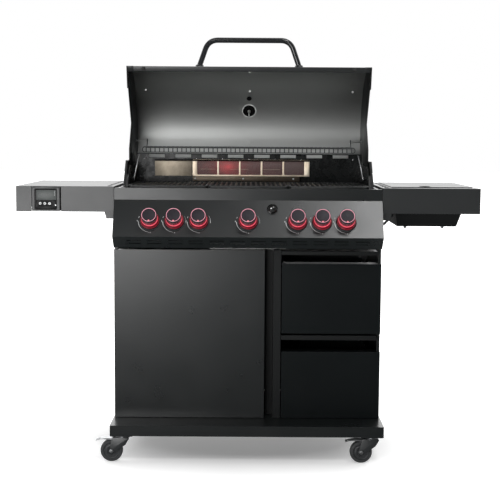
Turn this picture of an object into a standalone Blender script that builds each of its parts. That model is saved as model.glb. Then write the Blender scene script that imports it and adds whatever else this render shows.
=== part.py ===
"""Gas barbecue grill on four casters: cabinet with a door and two drawers, firebox, open lid,
warming rack on swinging legs, two side tables, rear infrared burner and a side burner."""
import bpy
import bmesh
from math import radians, sin, cos, hypot
from mathutils import Vector, Matrix

# ---------------------------------------------------------------- driving dimensions (metres)
FRONT = -0.22868            # Y of the side tables' front plane; the object's box is centred on Y = 0
TOTAL_WIDTH = 1.55
TABLE_TOP_Z = 0.9209
TABLE_APRON = 0.085
TABLE_DEPTH = 0.48
TABLE_INNER_X = 0.4485
SHEET = 0.0015             # folded steel sheet
GAP = 0.0004               # air between pieces that touch

BODY_HALF = 0.4475         # half width of the control panel
LIP_TOP_Z = 0.9165
LIP_BOTTOM_Z = 0.8775
PANEL_NOSE = (-0.0634, 0.759)      # lower front edge of the sloped panel, from the front plane
VENT_FOOT = (-0.020, 0.7185)

CABINET_HALF = 0.4525
CABINET_BOTTOM_Z = 0.1290
CABINET_TOP_Z = 0.7180
FACE_Y = 0.029             # door and drawer fronts, behind the front plane
FACE_DEPTH = 0.018
DOOR_X = (-0.4530, 0.0575)
DOOR_Z = (0.1292, 0.7075)
DRAWER_X = (0.1155, 0.4520)
UPPER_FRONT_Z = (0.4231, 0.6622)
LOWER_FRONT_Z = (0.1292, 0.3605)
DRAWER_LEDGE = 0.058
MID_RAIL_Z = (0.4006, 0.4165)
TOP_RAIL_Z = (0.6918, 0.7047)

PLINTH_HALF = 0.457
PLINTH_Y = (-0.082, 0.462)
PLINTH_Z = (0.0926, 0.1283)

TUB_HALF = 0.415
TUB_Y = (0.018, 0.404)
TUB_Z = (0.735, 0.915)
TUB_SIDE_TOP_Z = 0.985
REAR_WALL_TOP_Z = 1.0262
TOWER_X = (0.429, 0.437)
TOWER_TOP_Z = 1.003

LID_HALF = 0.4257
HINGE = (0.395, 0.992)             # lid hinge axis, Y from the front plane, and Z
LID_OPEN = 72.2                    # degrees, from closed to the standing position modelled here
LID_RIM = (-0.3795, -0.0712)       # front rim of the closed lid, from the hinge
LID_LEAN = 73.0                    # the front sheet's rise above the rim, degrees
RIM_FLANGE = 0.019
LID_STRAIGHT = 0.09                 # length of the straight front sheet above the rim
LID_BACK = (0.052, 0.070)           # where the curved sheet meets the straight back, from the hinge
GAUGE_ALONG = 0.375                 # along the front sheet from the rim to the temperature gauge
HANDLE_ALONG = 0.022                # along the front sheet from the rim to the handle
HANDLE_HEIGHT = 0.092
HANDLE_FOOT_X = 0.174
HANDLE_TOP_X = 0.143
HANDLE_R = 0.0095

LEG_FOOT = (0.195, 0.942)          # warming rack leg's pivot on the firebox
LEG_VECTOR = (0.085, 0.080)        # from its foot to its top, and from the lid hinge to the rack pin
RACK_HALF = 0.376
RACK_Z = 1.0500
RACK_DEPTH = 0.150
RACK_WIRE = 0.004
GRATE_Z = (0.9110, 0.9240)
GRATE_Y = (0.058, 0.380)
GRATE_WIDTH = 0.2705
REAR_BURNER_X = (-0.3445, 0.2235)
REAR_BURNER_Z = (0.9240, 1.0044)
BURNER_X = (-0.33, -0.165, 0.0, 0.165, 0.33)
BURNER_Z = 0.842

KNOB_X = [-0.3248, -0.2443, -0.1634, 0.0, 0.1634, 0.2443, 0.3248]
KNOB_Z = 0.8085
KNOB_R = 0.0262
BEZEL_R = 0.0325
BEZEL_H = 0.015
KNOB_FACE_H = 0.054
IGNITION = (0.0803, 0.8488)

WHEEL_R = 0.0375
WHEEL_W = 0.025
CASTER_X = 0.419
CASTER_Y = (-0.052, 0.434)
CASTER_TRAIL = 0.035

# ---------------------------------------------------------------- scene and collections
for old in list(bpy.data.objects):
    bpy.data.objects.remove(old, do_unlink=True)
for old in list(bpy.data.collections):
    bpy.data.collections.remove(old)

parts = bpy.data.collections.new("gas_barbecue_grill")
tools = bpy.data.collections.new("cutters")
bpy.context.scene.collection.children.link(parts)
bpy.context.scene.collection.children.link(tools)


def material(name, color, roughness, metallic):
    mat = bpy.data.materials.new(name)
    mat.use_nodes = True
    shader = mat.node_tree.nodes["Principled BSDF"]
    shader.inputs["Base Color"].default_value = (*color, 1.0)
    shader.inputs["Roughness"].default_value = roughness
    shader.inputs["Metallic"].default_value = metallic
    mat.diffuse_color = (*color, 1.0)
    return mat


BLACK_STEEL = material("black_powder_coat", (0.022, 0.024, 0.025), 0.42, 0.3)
GREY_STEEL = material("anthracite_powder_coat", (0.07, 0.072, 0.075), 0.45, 0.3)
ENAMEL = material("black_enamel", (0.01, 0.01, 0.011), 0.25, 0.0)
CAST_IRON = material("cast_iron", (0.015, 0.015, 0.015), 0.6, 0.2)
STAINLESS = material("stainless_steel", (0.62, 0.62, 0.6), 0.3, 1.0)
CHROME = material("chromed_wire", (0.75, 0.75, 0.76), 0.18, 1.0)
CREAM = material("heat_tinted_steel", (0.62, 0.53, 0.42), 0.4, 0.6)
CERAMIC = material("glowing_ceramic", (0.75, 0.12, 0.05), 0.7, 0.0)
KNOB_BLACK = material("knob_black", (0.03, 0.03, 0.03), 0.25, 0.0)
RUBBER = material("wheel_rubber", (0.02, 0.02, 0.02), 0.7, 0.0)
ZINC = material("zinc_plate", (0.45, 0.46, 0.47), 0.35, 1.0)
PLASTIC = material("display_plastic", (0.02, 0.02, 0.022), 0.3, 0.0)
BUTTON_GREY = material("button_grey", (0.55, 0.56, 0.57), 0.5, 0.0)
HOSE = material("hose_rubber", (0.03, 0.03, 0.03), 0.6, 0.0)


# ---------------------------------------------------------------- modelling helpers
def mesh_object(name, mesh, mat, collection=None):
    ob = bpy.data.objects.new(name, mesh)
    (collection or parts).objects.link(ob)
    if mat:
        mesh.materials.append(mat)
    return ob


def from_bmesh(name, bm, mat, collection=None):
    mesh = bpy.data.meshes.new(name)
    bm.to_mesh(mesh)
    bm.free()
    return mesh_object(name, mesh, mat, collection)


def as_tool(ob):
    for c in list(ob.users_collection):
        c.objects.unlink(ob)
    tools.objects.link(ob)
    ob.hide_render = True
    ob.display_type = "WIRE"
    return ob


def box(name, mat, x, y, z, collection=None):
    """Box between two X, two Y (from the front plane) and two Z values."""
    bm = bmesh.new()
    bmesh.ops.create_cube(bm, size=1.0)
    size = Vector((x[1] - x[0], y[1] - y[0], z[1] - z[0]))
    bmesh.ops.scale(bm, vec=size, verts=bm.verts)
    ob = from_bmesh(name, bm, mat, collection)
    ob.location = ((x[0] + x[1]) / 2, FRONT + (y[0] + y[1]) / 2, (z[0] + z[1]) / 2)
    return ob


def cylinder(name, mat, center, axis, r, length, sides=24, r2=None):
    """Cylinder or cone along an axis, its middle at center (Y from the front plane)."""
    bm = bmesh.new()
    bmesh.ops.create_cone(bm, cap_ends=True, segments=sides, radius1=r,
                          radius2=r if r2 is None else r2, depth=length)
    ob = from_bmesh(name, bm, mat)
    ob.rotation_euler = Vector((0, 0, 1)).rotation_difference(Vector(axis)).to_euler()
    ob.location = (center[0], FRONT + center[1], center[2])
    return ob


def pan(name, mat, x, y, z, open_face, wall=SHEET):
    """Folded sheet box with one face left open ('-Y', '+Z' ...)."""
    ob = box(name, mat, x, y, z)
    bm = bmesh.new()
    bm.from_mesh(ob.data)
    axis = "XYZ".index(open_face[1])
    side = 1.0 if open_face[0] == "+" else -1.0
    gone = [f for f in bm.faces if f.normal[axis] * side > 0.9]
    bmesh.ops.delete(bm, geom=gone, context="FACES_ONLY")
    bm.to_mesh(ob.data)
    bm.free()
    solidify(ob, wall)
    return ob


def solidify(ob, wall, offset=-1.0):
    mod = ob.modifiers.new("sheet", "SOLIDIFY")
    mod.thickness = wall
    mod.offset = offset
    mod.use_even_offset = True
    return ob


def prism(name, mat, points, x0, x1):
    """Flat outline in the Y-Z plane (Y from the front plane), from x0 to x1."""
    curve = bpy.data.curves.new(name, "CURVE")
    curve.dimensions = "2D"
    curve.fill_mode = "BOTH"
    curve.extrude = abs(x1 - x0) / 2
    add_outline(curve, points)
    ob = bpy.data.objects.new(name, curve)
    parts.objects.link(ob)
    turn = Matrix(((0, 0, 1, 0), (1, 0, 0, 0), (0, 1, 0, 0), (0, 0, 0, 1)))
    ob.matrix_world = Matrix.Translation(((x0 + x1) / 2, FRONT, 0)) @ turn
    return to_mesh(ob, mat)


def add_outline(curve, points):
    spline = curve.splines.new("POLY")
    spline.points.add(len(points) - 1)
    for p, (u, v) in zip(spline.points, points):
        p.co = (u, v, 0, 1)
    spline.use_cyclic_u = True


def grid_plate(name, mat, x, y, z, slots):
    """Flat plate with rectangular slots, each (x0, x1, y0, y1)."""
    curve = bpy.data.curves.new(name, "CURVE")
    curve.dimensions = "2D"
    curve.fill_mode = "BOTH"
    curve.extrude = (z[1] - z[0]) / 2
    for x0, x1, y0, y1 in [(x[0], x[1], y[0], y[1])] + slots:
        add_outline(curve, [(x0, y0), (x1, y0), (x1, y1), (x0, y1)])
    ob = bpy.data.objects.new(name, curve)
    parts.objects.link(ob)
    ob.location = (0, FRONT, (z[0] + z[1]) / 2)
    return to_mesh(ob, mat)


def to_mesh(ob, mat):
    """The evaluated curve as a welded mesh object of the same name and place."""
    bpy.context.view_layer.update()
    graph = bpy.context.evaluated_depsgraph_get()
    mesh = bpy.data.meshes.new_from_object(ob.evaluated_get(graph))
    place = ob.matrix_world.copy()
    name = ob.name
    bpy.data.objects.remove(ob, do_unlink=True)
    bm = bmesh.new()
    bm.from_mesh(mesh)
    bmesh.ops.remove_doubles(bm, verts=bm.verts, dist=0.00002)
    bmesh.ops.recalc_face_normals(bm, faces=bm.faces)
    bm.to_mesh(mesh)
    bm.free()
    mesh.materials.clear()
    new = mesh_object(name, mesh, mat)
    new.matrix_world = place
    return new


def tube(name, mat, points, r, resolution=2):
    """Round tube through points (Y from the front plane), with closed ends."""
    curve = bpy.data.curves.new(name, "CURVE")
    curve.dimensions = "3D"
    curve.bevel_depth = r
    curve.bevel_resolution = resolution
    curve.use_fill_caps = True
    spline = curve.splines.new("POLY")
    spline.points.add(len(points) - 1)
    for p, (x, y, z) in zip(spline.points, points):
        p.co = (x, FRONT + y, z, 1)
    ob = bpy.data.objects.new(name, curve)
    parts.objects.link(ob)
    return to_mesh(ob, mat)


def rounded_path(corners, radius, steps=5):
    """Points along a path whose inner corners are turned into arcs."""
    points = [Vector(corners[0])]
    for a, b, c in zip(corners, corners[1:], corners[2:]):
        a, b, c = Vector(a), Vector(b), Vector(c)
        into = (b - a).normalized()
        out = (c - b).normalized()
        bend = into.angle(out)
        cut = radius * abs(bend / 2 and sin(bend / 2) / cos(bend / 2))
        start = b - into * cut
        side = (out - into * out.dot(into)).normalized()
        center = start + side * radius
        for i in range(steps + 1):
            t = bend * i / steps
            points.append(center - side * radius * cos(t) + into * radius * sin(t))
    points.append(Vector(corners[-1]))
    return [tuple(p) for p in points]


def turned(name, mat, profile, steps=24):
    """Profile of (radius, height), top to bottom, turned about local Z."""
    mesh = bpy.data.meshes.new(name)
    mesh.from_pydata([(r, 0, h) for r, h in profile], [(i, i + 1) for i in range(len(profile) - 1)], [])
    ob = mesh_object(name, mesh, mat)
    mod = ob.modifiers.new("turn", "SCREW")
    mod.axis = "Z"
    mod.steps = steps
    mod.render_steps = steps
    mod.use_merge_vertices = True
    mod.merge_threshold = 0.00005
    return ob


def boolean(ob, other, operation):
    mod = ob.modifiers.new(operation.lower() + "_" + other.name, "BOOLEAN")
    mod.operation = operation
    mod.object = as_tool(other)
    mod.solver = "EXACT"
    return ob


def cut(ob, *others):
    for other in others:
        boolean(ob, other, "DIFFERENCE")
    return ob


def weld(ob, *others):
    for other in others:
        boolean(ob, other, "UNION")
    return ob


def merged(name, boxes):
    """Several separate closed bodies as one cutter mesh."""
    bm = bmesh.new()
    for piece in boxes:
        copy = piece.data.copy()
        copy.transform(piece.matrix_basis)
        bm.from_mesh(copy)
        bpy.data.meshes.remove(copy)
        bpy.data.objects.remove(piece, do_unlink=True)
    return from_bmesh(name, bm, None)


def set_pivot(ob, x, y, z):
    """Moves the object's origin to a joint axis (Y from the front plane)."""
    bpy.context.view_layer.update()
    target = Vector((x, FRONT + y, z))
    shift = ob.matrix_world.inverted() @ target
    ob.data.transform(Matrix.Translation(-shift))
    ob.location = target
    return ob


# ---------------------------------------------------------------- base and cabinet
def base_plinth():
    x = (-PLINTH_HALF, PLINTH_HALF)
    ob = box("base_plinth", BLACK_STEEL, x, PLINTH_Y, PLINTH_Z)
    wall = 0.002
    inside = box("plinth_inside", None, (x[0] + wall, x[1] - wall),
                 (PLINTH_Y[0] + wall, PLINTH_Y[1] - wall), (PLINTH_Z[0] + wall, PLINTH_Z[1] - wall))
    mouth = box("plinth_mouth", None, (-0.34, 0.34), (0.0, 0.38), (PLINTH_Z[0] - 0.01, PLINTH_Z[0] + 0.01))
    cut(ob, inside, mouth)
    for side in (-1, 1):
        for y in CASTER_Y:
            plate = box("caster_plate", None, (side * CASTER_X - 0.037, side * CASTER_X + 0.037),
                        (y - 0.027, y + 0.027), (PLINTH_Z[0] - 0.0025, PLINTH_Z[0] + 0.001))
            weld(ob, plate)
    return ob


def folded_upright(name, mat, outline, z, wall):
    """Sheet folded along vertical lines: outline of (x, y) seen from above."""
    bm = bmesh.new()
    low = [bm.verts.new((x, FRONT + y, z[0])) for x, y in outline]
    for a, b in zip(low, low[1:]):
        bm.edges.new((a, b))
    top = bmesh.ops.extrude_edge_only(bm, edges=bm.edges[:])
    lifted = [v for v in top["geom"] if isinstance(v, bmesh.types.BMVert)]
    bmesh.ops.translate(bm, vec=(0, 0, z[1] - z[0]), verts=lifted)
    ob = from_bmesh(name, bm, mat)
    solidify(ob, wall, 0.0)
    return ob


def cabinet():
    z = (CABINET_BOTTOM_Z, CABINET_TOP_Z)
    front = FACE_Y + FACE_DEPTH + 0.002
    back = 0.458
    edge = CABINET_HALF - SHEET / 2
    for name, side in (("cabinet_left_side", -1), ("cabinet_right_side", 1)):
        inner = side * (edge - 0.010)
        outline = [(inner, front), (side * edge, front), (side * edge, back), (inner, back)]
        folded_upright(name, BLACK_STEEL, outline, z, SHEET)
    box("cabinet_back", BLACK_STEEL, (-0.4400, 0.4400), (0.4560, 0.4575), (CABINET_BOTTOM_Z, 0.7070))
    post = (DRAWER_X[0] - 0.0035, 0.0872)
    outline = [(DOOR_X[1] + 0.004, 0.081), (post[1], 0.081), (post[1], FACE_Y), (post[0], FACE_Y),
               (post[0], 0.4545)]
    folded_upright("cabinet_divider", BLACK_STEEL, outline, (CABINET_BOTTOM_Z, DOOR_Z[1]), SHEET)
    span = (DRAWER_X[0] - 0.0015, CABINET_HALF - 0.0135)
    box("cabinet_top_rail", BLACK_STEEL, span, (FACE_Y, FACE_Y + 0.07), TOP_RAIL_Z)
    shelf = pan("cabinet_mid_shelf", BLACK_STEEL, span, (FACE_Y, 0.4545), MID_RAIL_Z, "-Z")
    return shelf


def door():
    ob = pan("door", BLACK_STEEL, DOOR_X, (FACE_Y, FACE_Y + FACE_DEPTH), DOOR_Z, "+Y", 0.0012)
    set_pivot(ob, DOOR_X[0] - 0.0005, FACE_Y + FACE_DEPTH + 0.0015, (DOOR_Z[0] + DOOR_Z[1]) / 2)


def drawer(name, z):
    wall = 0.0012
    front = pan(name, BLACK_STEEL, DRAWER_X, (FACE_Y, FACE_Y + FACE_DEPTH), z, "+Y", wall)
    ledge = box(name + "_ledge", None, (DRAWER_X[0], DRAWER_X[1] - 0.0125), (FACE_Y + 0.0002, FACE_Y + DRAWER_LEDGE), (z[1] - wall, z[1]))
    bin_x = (DRAWER_X[0] + 0.0125, DRAWER_X[1] - 0.0265)
    bin_y = (FACE_Y + 0.0004, 0.430)
    bin_z = (z[0] + 0.0065, z[1] - 0.022)
    body = box(name + "_bin", None, bin_x, bin_y, bin_z)
    hollow = box(name + "_hollow", None, (bin_x[0] + 0.002, bin_x[1] - 0.002),
                 (FACE_Y + FACE_DEPTH + 0.004, bin_y[1] - 0.002), (bin_z[0] + 0.002, bin_z[1] + 0.01))
    front_gap = box(name + "_gap", None, (bin_x[0] + 0.002, bin_x[1] - 0.002),
                    (bin_y[0] + 0.0012, FACE_Y + FACE_DEPTH + 0.002), (bin_z[0] + 0.002, bin_z[1] + 0.01))
    weld(front, ledge, body)
    cut(front, hollow, front_gap)
    return front


# ---------------------------------------------------------------- control panel
def panel_frame():
    """Direction out of the sloped panel, and the panel's Y at a height."""
    rise = LIP_BOTTOM_Z - PANEL_NOSE[1]
    reach = -PANEL_NOSE[0]
    length = hypot(rise, reach)
    outward = Vector((0, -rise / length, reach / length))
    return outward, lambda z: -reach * (LIP_BOTTOM_Z - z) / rise


def on_panel(ob, x, z, height):
    """Places an object on the panel with its local Z pointing out of it."""
    outward, panel_y = panel_frame()
    ob.rotation_euler = Vector((0, 0, 1)).rotation_difference(outward).to_euler()
    ob.location = Vector((x, FRONT + panel_y(z), z)) + outward * height
    return ob


def control_panel():
    profile = [(0.016, LIP_TOP_Z), (0.0, LIP_TOP_Z), (0.0, LIP_BOTTOM_Z), PANEL_NOSE, VENT_FOOT,
               (0.016, VENT_FOOT[1])]
    bm = bmesh.new()
    ends = []
    for x in (-BODY_HALF, BODY_HALF):
        ends.append([bm.verts.new((x, FRONT + y, z)) for y, z in profile])
    left, right = ends
    bm.faces.new(left)
    bm.faces.new(right[::-1])
    for i in range(len(profile) - 1):
        bm.faces.new((left[i + 1], left[i], right[i], right[i + 1]))
    bmesh.ops.recalc_face_normals(bm, faces=bm.faces)
    ob = from_bmesh("control_panel", bm, BLACK_STEEL)
    solidify(ob, SHEET)
    rings = []
    holes = []
    for i, x in enumerate(KNOB_X):
        ring = cylinder("bezel", None, (0, 0, 0), (0, 0, 1), BEZEL_R, BEZEL_H, 20, BEZEL_R - 0.003)
        rings.append(on_panel(ring, x, KNOB_Z, BEZEL_H / 2 - 0.0007))
        hole = cylinder("stem_hole", None, (0, 0, 0), (0, 0, 1), 0.0065, 0.06, 8)
        holes.append(on_panel(hole, x, KNOB_Z, 0.0))
    collar = cylinder("collar", None, (0, 0, 0), (0, 0, 1), 0.0185, 0.0045, 24)
    rings.append(on_panel(collar, IGNITION[0], IGNITION[1], 0.0018))
    hole = cylinder("button_hole", None, (0, 0, 0), (0, 0, 1), 0.0155, 0.03, 24)
    holes.append(on_panel(hole, IGNITION[0], IGNITION[1], 0.0))
    weld(ob, merged("panel_rings", rings))
    cut(ob, merged("panel_holes", holes))
    cut(ob, vent_slots())
    return ob


def vent_slots():
    """Two rows of twelve slots in the strip under the panel's nose."""
    down = Vector((0, VENT_FOOT[0] - PANEL_NOSE[0], VENT_FOOT[1] - PANEL_NOSE[1]))
    out = Vector((0, down.z, -down.y)).normalized()
    pitch = 0.069
    slots = []
    for row in (0.36, 0.62):
        for i in range(12):
            slot = box("slot", None, (-0.024, 0.024), (-0.0022 - FRONT, 0.0022 - FRONT), (-0.006, 0.006))
            slot.rotation_euler = Vector((0, 0, 1)).rotation_difference(out).to_euler()
            slot.location = ((i - 5.5) * pitch, FRONT + PANEL_NOSE[0] + down.y * row, PANEL_NOSE[1] + down.z * row)
            slots.append(slot)
    return merged("vent_slots", slots)


def knob(index, x):
    profile = [(0, KNOB_FACE_H - 0.0015), (KNOB_R - 0.004, KNOB_FACE_H - 0.0015), (KNOB_R - 0.002, KNOB_FACE_H),
               (KNOB_R - 0.0008, KNOB_FACE_H - 0.001), (KNOB_R, KNOB_FACE_H - 0.012),
               (KNOB_R + 0.0015, BEZEL_H + 0.012), (KNOB_R + 0.0015, BEZEL_H + GAP), (0, BEZEL_H + GAP)]
    ob = turned("knob_%d" % index, KNOB_BLACK, profile, 20)
    on_panel(ob, x, KNOB_Z, 0.0)


def ignition_button():
    profile = [(0, 0.0095), (0.008, 0.009), (0.0125, 0.007), (0.0148, 0.004), (0.0148, -0.004), (0, -0.004)]
    ob = turned("ignition_button", KNOB_BLACK, profile, 24)
    on_panel(ob, IGNITION[0], IGNITION[1], 0.0)


def gas_manifold():
    outward, panel_y = panel_frame()
    back = 0.036
    center = Vector((0, panel_y(KNOB_Z), KNOB_Z)) - outward * back
    ob = cylinder("gas_manifold", STAINLESS, center, (1, 0, 0), 0.009, 0.84, 12)
    stems = []
    for x in KNOB_X:
        stem = cylinder("stem", None, (0, 0, 0), (0, 0, 1), 0.004, back + BEZEL_H, 8)
        stems.append(on_panel(stem, x, KNOB_Z, (BEZEL_H - back) / 2))
    weld(ob, merged("valve_stems", stems))
    return ob


# ---------------------------------------------------------------- firebox
def firebox():
    tub = pan("firebox_tub", ENAMEL, (-TUB_HALF, TUB_HALF), TUB_Y, TUB_Z, "+Z", 0.002)
    drain = box("drain", None, (-0.05, 0.05), (0.18, 0.25), (TUB_Z[0] - 0.01, TUB_Z[0] + 0.01))
    for side in (-1, 1):
        cheek = [(0.105, TUB_Z[1] - 0.01), (0.402, TUB_Z[1] - 0.01), (0.402, TUB_SIDE_TOP_Z), (0.165, TUB_SIDE_TOP_Z)]
        x = sorted((side * TUB_HALF, side * (TUB_HALF - 0.002)))
        weld(tub, prism("cheek", None, cheek, *x))
        foot = cylinder("leg_pin", None, (side * (TUB_HALF - 0.008), *LEG_FOOT), (1, 0, 0), 0.0028, 0.014, 12)
        weld(tub, foot)
    wall = box("rear_wall", None, (-0.4148, 0.4148), (TUB_Y[1] - 0.002, TUB_Y[1]), (TUB_Z[1] - 0.01, REAR_WALL_TOP_Z))
    weld(tub, wall)
    slots = [box("slot", None, (x - 0.0285, x + 0.0285), (TUB_Y[1] - 0.01, TUB_Y[1] + 0.01), (1.011, 1.0225))
             for x in [(i - 3.5) * 0.0966 for i in range(8)]]
    cut(tub, drain, merged("rear_slots", slots))
    return tub


def towers():
    for name, side in (("firebox_left_end", -1), ("firebox_right_end", 1)):
        outline = [(0.0175, 0.722), (0.4655, 0.722), (0.4655, TOWER_TOP_Z), (0.250, TOWER_TOP_Z),
                   (0.168, LIP_TOP_Z), (0.0175, LIP_TOP_Z)]
        x = sorted((side * TOWER_X[0], side * TOWER_X[1]))
        ob = prism(name, BLACK_STEEL, outline, *x)
        pin_mid = side * (TOWER_X[0] - 0.003)
        weld(ob, cylinder("hinge_pin", None, (pin_mid, *HINGE), (1, 0, 0), 0.0042, 0.012, 24))


def cooking_grates():
    width = GRATE_WIDTH
    gap = 0.0025
    bars = 12
    for i, name in enumerate(("grate_left", "grate_center", "grate_right")):
        x0 = (i - 1.5) * (width + gap) + gap / 2
        rim = 0.008
        pitch = (width - rim) / bars
        slots = []
        for k in range(bars):
            slot_x = x0 + rim + k * pitch
            slots.append((slot_x, slot_x + pitch - 0.008, GRATE_Y[0] + 0.014, GRATE_Y[1] - 0.014))
        grid_plate(name, CAST_IRON, (x0, x0 + width), GRATE_Y, GRATE_Z, slots)


def flame_tamer():
    """Five tent-shaped deflectors in one corrugated sheet above the burners."""
    half = 0.058
    outline = []
    for x in BURNER_X:
        outline += [(x - half, 0.866), (x, 0.890), (x + half, 0.866)]
    bm = bmesh.new()
    line = [bm.verts.new((x, FRONT + 0.075, z)) for x, z in outline]
    for a, b in zip(line, line[1:]):
        bm.edges.new((a, b))
    far = bmesh.ops.extrude_edge_only(bm, edges=bm.edges[:])
    moved = [v for v in far["geom"] if isinstance(v, bmesh.types.BMVert)]
    bmesh.ops.translate(bm, vec=(0, 0.285, 0), verts=moved)
    ob = from_bmesh("flame_tamer", bm, STAINLESS)
    solidify(ob, 0.0015, 0.0)


def main_burners():
    ob = box("main_burners", STAINLESS, (-0.37, 0.37), (0.355, 0.367), (BURNER_Z - 0.004, BURNER_Z + 0.004))
    tubes = [cylinder("burner", None, (x, 0.196, BURNER_Z), (0, 1, 0), 0.0125, 0.335, 12)
             for x in BURNER_X]
    weld(ob, merged("burner_tubes", tubes))


def rear_burner():
    frame = box("rear_burner_frame", CREAM, REAR_BURNER_X, (0.3835, 0.3855), REAR_BURNER_Z)
    windows = [box("window", None, (-0.1890 + i * 0.0799, -0.1170 + i * 0.0799), (0.37, 0.40), (0.9485, 1.0010))
               for i in range(5)]
    cut(frame, merged("burner_windows", windows))
    box("rear_burner_tiles", CERAMIC, (-0.1950, 0.2100), (0.3860, 0.4010), (0.9450, 1.0030))


def grease_tray():
    pan("grease_tray", STAINLESS, (-0.13, 0.13), (0.06, 0.4650), (0.7090, 0.7300), "+Z", 0.001)


# ---------------------------------------------------------------- lid
def lid_section():
    """The closed lid's outer section (y, z from the hinge): rim flange, leaning front, crown, back."""
    lean = radians(LID_LEAN)
    rise = Vector((cos(lean), sin(lean)))
    rim = Vector(LID_RIM)
    bend = rim + rise * LID_STRAIGHT
    points = [rim + Vector((RIM_FLANGE, 0)), rim]
    end = Vector(LID_BACK)
    handles = (bend + rise * 0.235, end + Vector((-0.004, 0.165)))
    steps = 12
    for i in range(steps + 1):
        t = i / steps
        s = 1 - t
        points.append(bend * s ** 3 + handles[0] * 3 * s * s * t + handles[1] * 3 * s * t * t + end * t ** 3)
    points.append(Vector((0.056, 0.020)))
    return points


def lid_place(ob, x=0.0):
    """Local frame of the lid: origin on the hinge, turned from closed to open."""
    ob.rotation_euler = (radians(-LID_OPEN), 0, 0)
    ob.location = (x, FRONT + HINGE[0], HINGE[1])
    return ob


def lid_shell():
    points = lid_section()
    half = LID_HALF - 0.0024
    bm = bmesh.new()
    line = [bm.verts.new((-half, p.x, p.y)) for p in points]
    for a, b in zip(line, line[1:]):
        bm.edges.new((a, b))
    far = bmesh.ops.extrude_edge_only(bm, edges=bm.edges[:])
    moved = [v for v in far["geom"] if isinstance(v, bmesh.types.BMVert)]
    bmesh.ops.translate(bm, vec=(2 * half, 0, 0), verts=moved)
    bmesh.ops.recalc_face_normals(bm, faces=bm.faces)
    outward = [f for f in bm.faces if abs(f.normal.y) < 0.6 and f.calc_center_median().z > 0.1]
    if outward and outward[0].normal.z < 0:
        bmesh.ops.reverse_faces(bm, faces=bm.faces)
    ob = from_bmesh("lid_shell", bm, BLACK_STEEL)
    solidify(ob, SHEET, -1.0)
    hole = cylinder("gauge_hole", None, (0, 0, 0), (0, 0, 1), 0.024, 0.08, 24)
    place_on_lid(hole, GAUGE_ALONG, 0.0, 0.0)
    cut(ob, hole)
    lid_place(ob)
    return ob


def lid_point(along):
    """Point and outward direction on the closed lid's section, a distance along from the rim."""
    points = lid_section()[1:]
    left = along
    for a, b in zip(points, points[1:]):
        step = (b - a).length
        if left <= step:
            direction = (b - a).normalized()
            return a + direction * left, Vector((-direction.y, direction.x))
        left -= step
    raise ValueError("beyond the lid")


def place_on_lid(ob, along, x, height):
    """Places an object on the open lid, its local Z pointing out of the sheet."""
    point, outward = lid_point(along)
    closed = Vector((0, outward.x, outward.y))
    turn = Matrix.Rotation(radians(-LID_OPEN), 4, "X")
    base = Matrix.Translation((x, FRONT + HINGE[0], HINGE[1])) @ turn
    local = Vector((0, point.x, point.y)) + closed * height
    aim = Vector((0, 0, 1)).rotation_difference(closed).to_matrix().to_4x4()
    ob.matrix_world = base @ Matrix.Translation(local) @ aim
    return ob


def lid_sides():
    points = lid_section()[1:]
    inset = 0.0021
    outline = []
    for i, p in enumerate(points):
        a = points[max(i - 1, 0)]
        b = points[min(i + 1, len(points) - 1)]
        along = (b - a).normalized()
        outline.append(p + Vector((along.y, -along.x)) * inset)
    rim = Vector(LID_RIM)
    lower = [Vector((0.030, -0.012)), Vector((0.018, -0.030)), rim + Vector((0.3500, -0.0350)),
             rim + Vector((0.3267, -0.0555)), rim + Vector((0.2886, -0.0433)), rim + Vector((0.2220, 0.0505)),
             rim + Vector((0.0605, -0.0079)), rim + Vector((0.0030, -0.0060))]
    loop = [(p.x, p.y) for p in outline + lower]
    for name, side in (("lid_left_side", -1), ("lid_right_side", 1)):
        x = sorted((side * LID_HALF, side * (LID_HALF - 0.002)))
        ob = prism(name, BLACK_STEEL, loop, x[0], x[1])
        bpy.context.view_layer.update()
        ob.data.transform(Matrix.Translation((0, -FRONT, 0)) @ ob.matrix_world)
        ob.matrix_world = Matrix.Identity(4)
        lid_place(ob)
        hole = cylinder("ear_hole", None, (side * LID_HALF, *HINGE), (1, 0, 0), 0.0047, 0.02, 24)
        cut(ob, hole)
        pin = cylinder("rack_pin", None, (side * (LID_HALF - 0.0215), HINGE[0] + LEG_VECTOR[0],
                                         HINGE[1] + LEG_VECTOR[1]), (1, 0, 0), 0.003, 0.041, 12)
        weld(ob, pin)


def lid_handle():
    base, outward = lid_point(HANDLE_ALONG)
    foot_height = 0.0036

    def at(x, h):
        p = base + outward * h
        return (x, p.x - FRONT, p.y)
    corners = [at(-HANDLE_FOOT_X, foot_height), at(-HANDLE_TOP_X, HANDLE_HEIGHT),
               at(HANDLE_TOP_X, HANDLE_HEIGHT), at(HANDLE_FOOT_X, foot_height)]
    ob = tube("lid_handle", KNOB_BLACK, rounded_path(corners, 0.030, 6), HANDLE_R, 3)
    lid_place(ob)


def lid_gauge():
    profile = [(0, 0.012), (0.030, 0.012), (0.034, 0.009), (0.034, GAP), (0.0225, GAP), (0.0225, -0.006),
               (0.004, -0.008), (0.003, -0.044), (0, -0.046)]
    ob = turned("lid_gauge", STAINLESS, profile, 24)
    place_on_lid(ob, GAUGE_ALONG, 0.0, 0.0)


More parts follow.
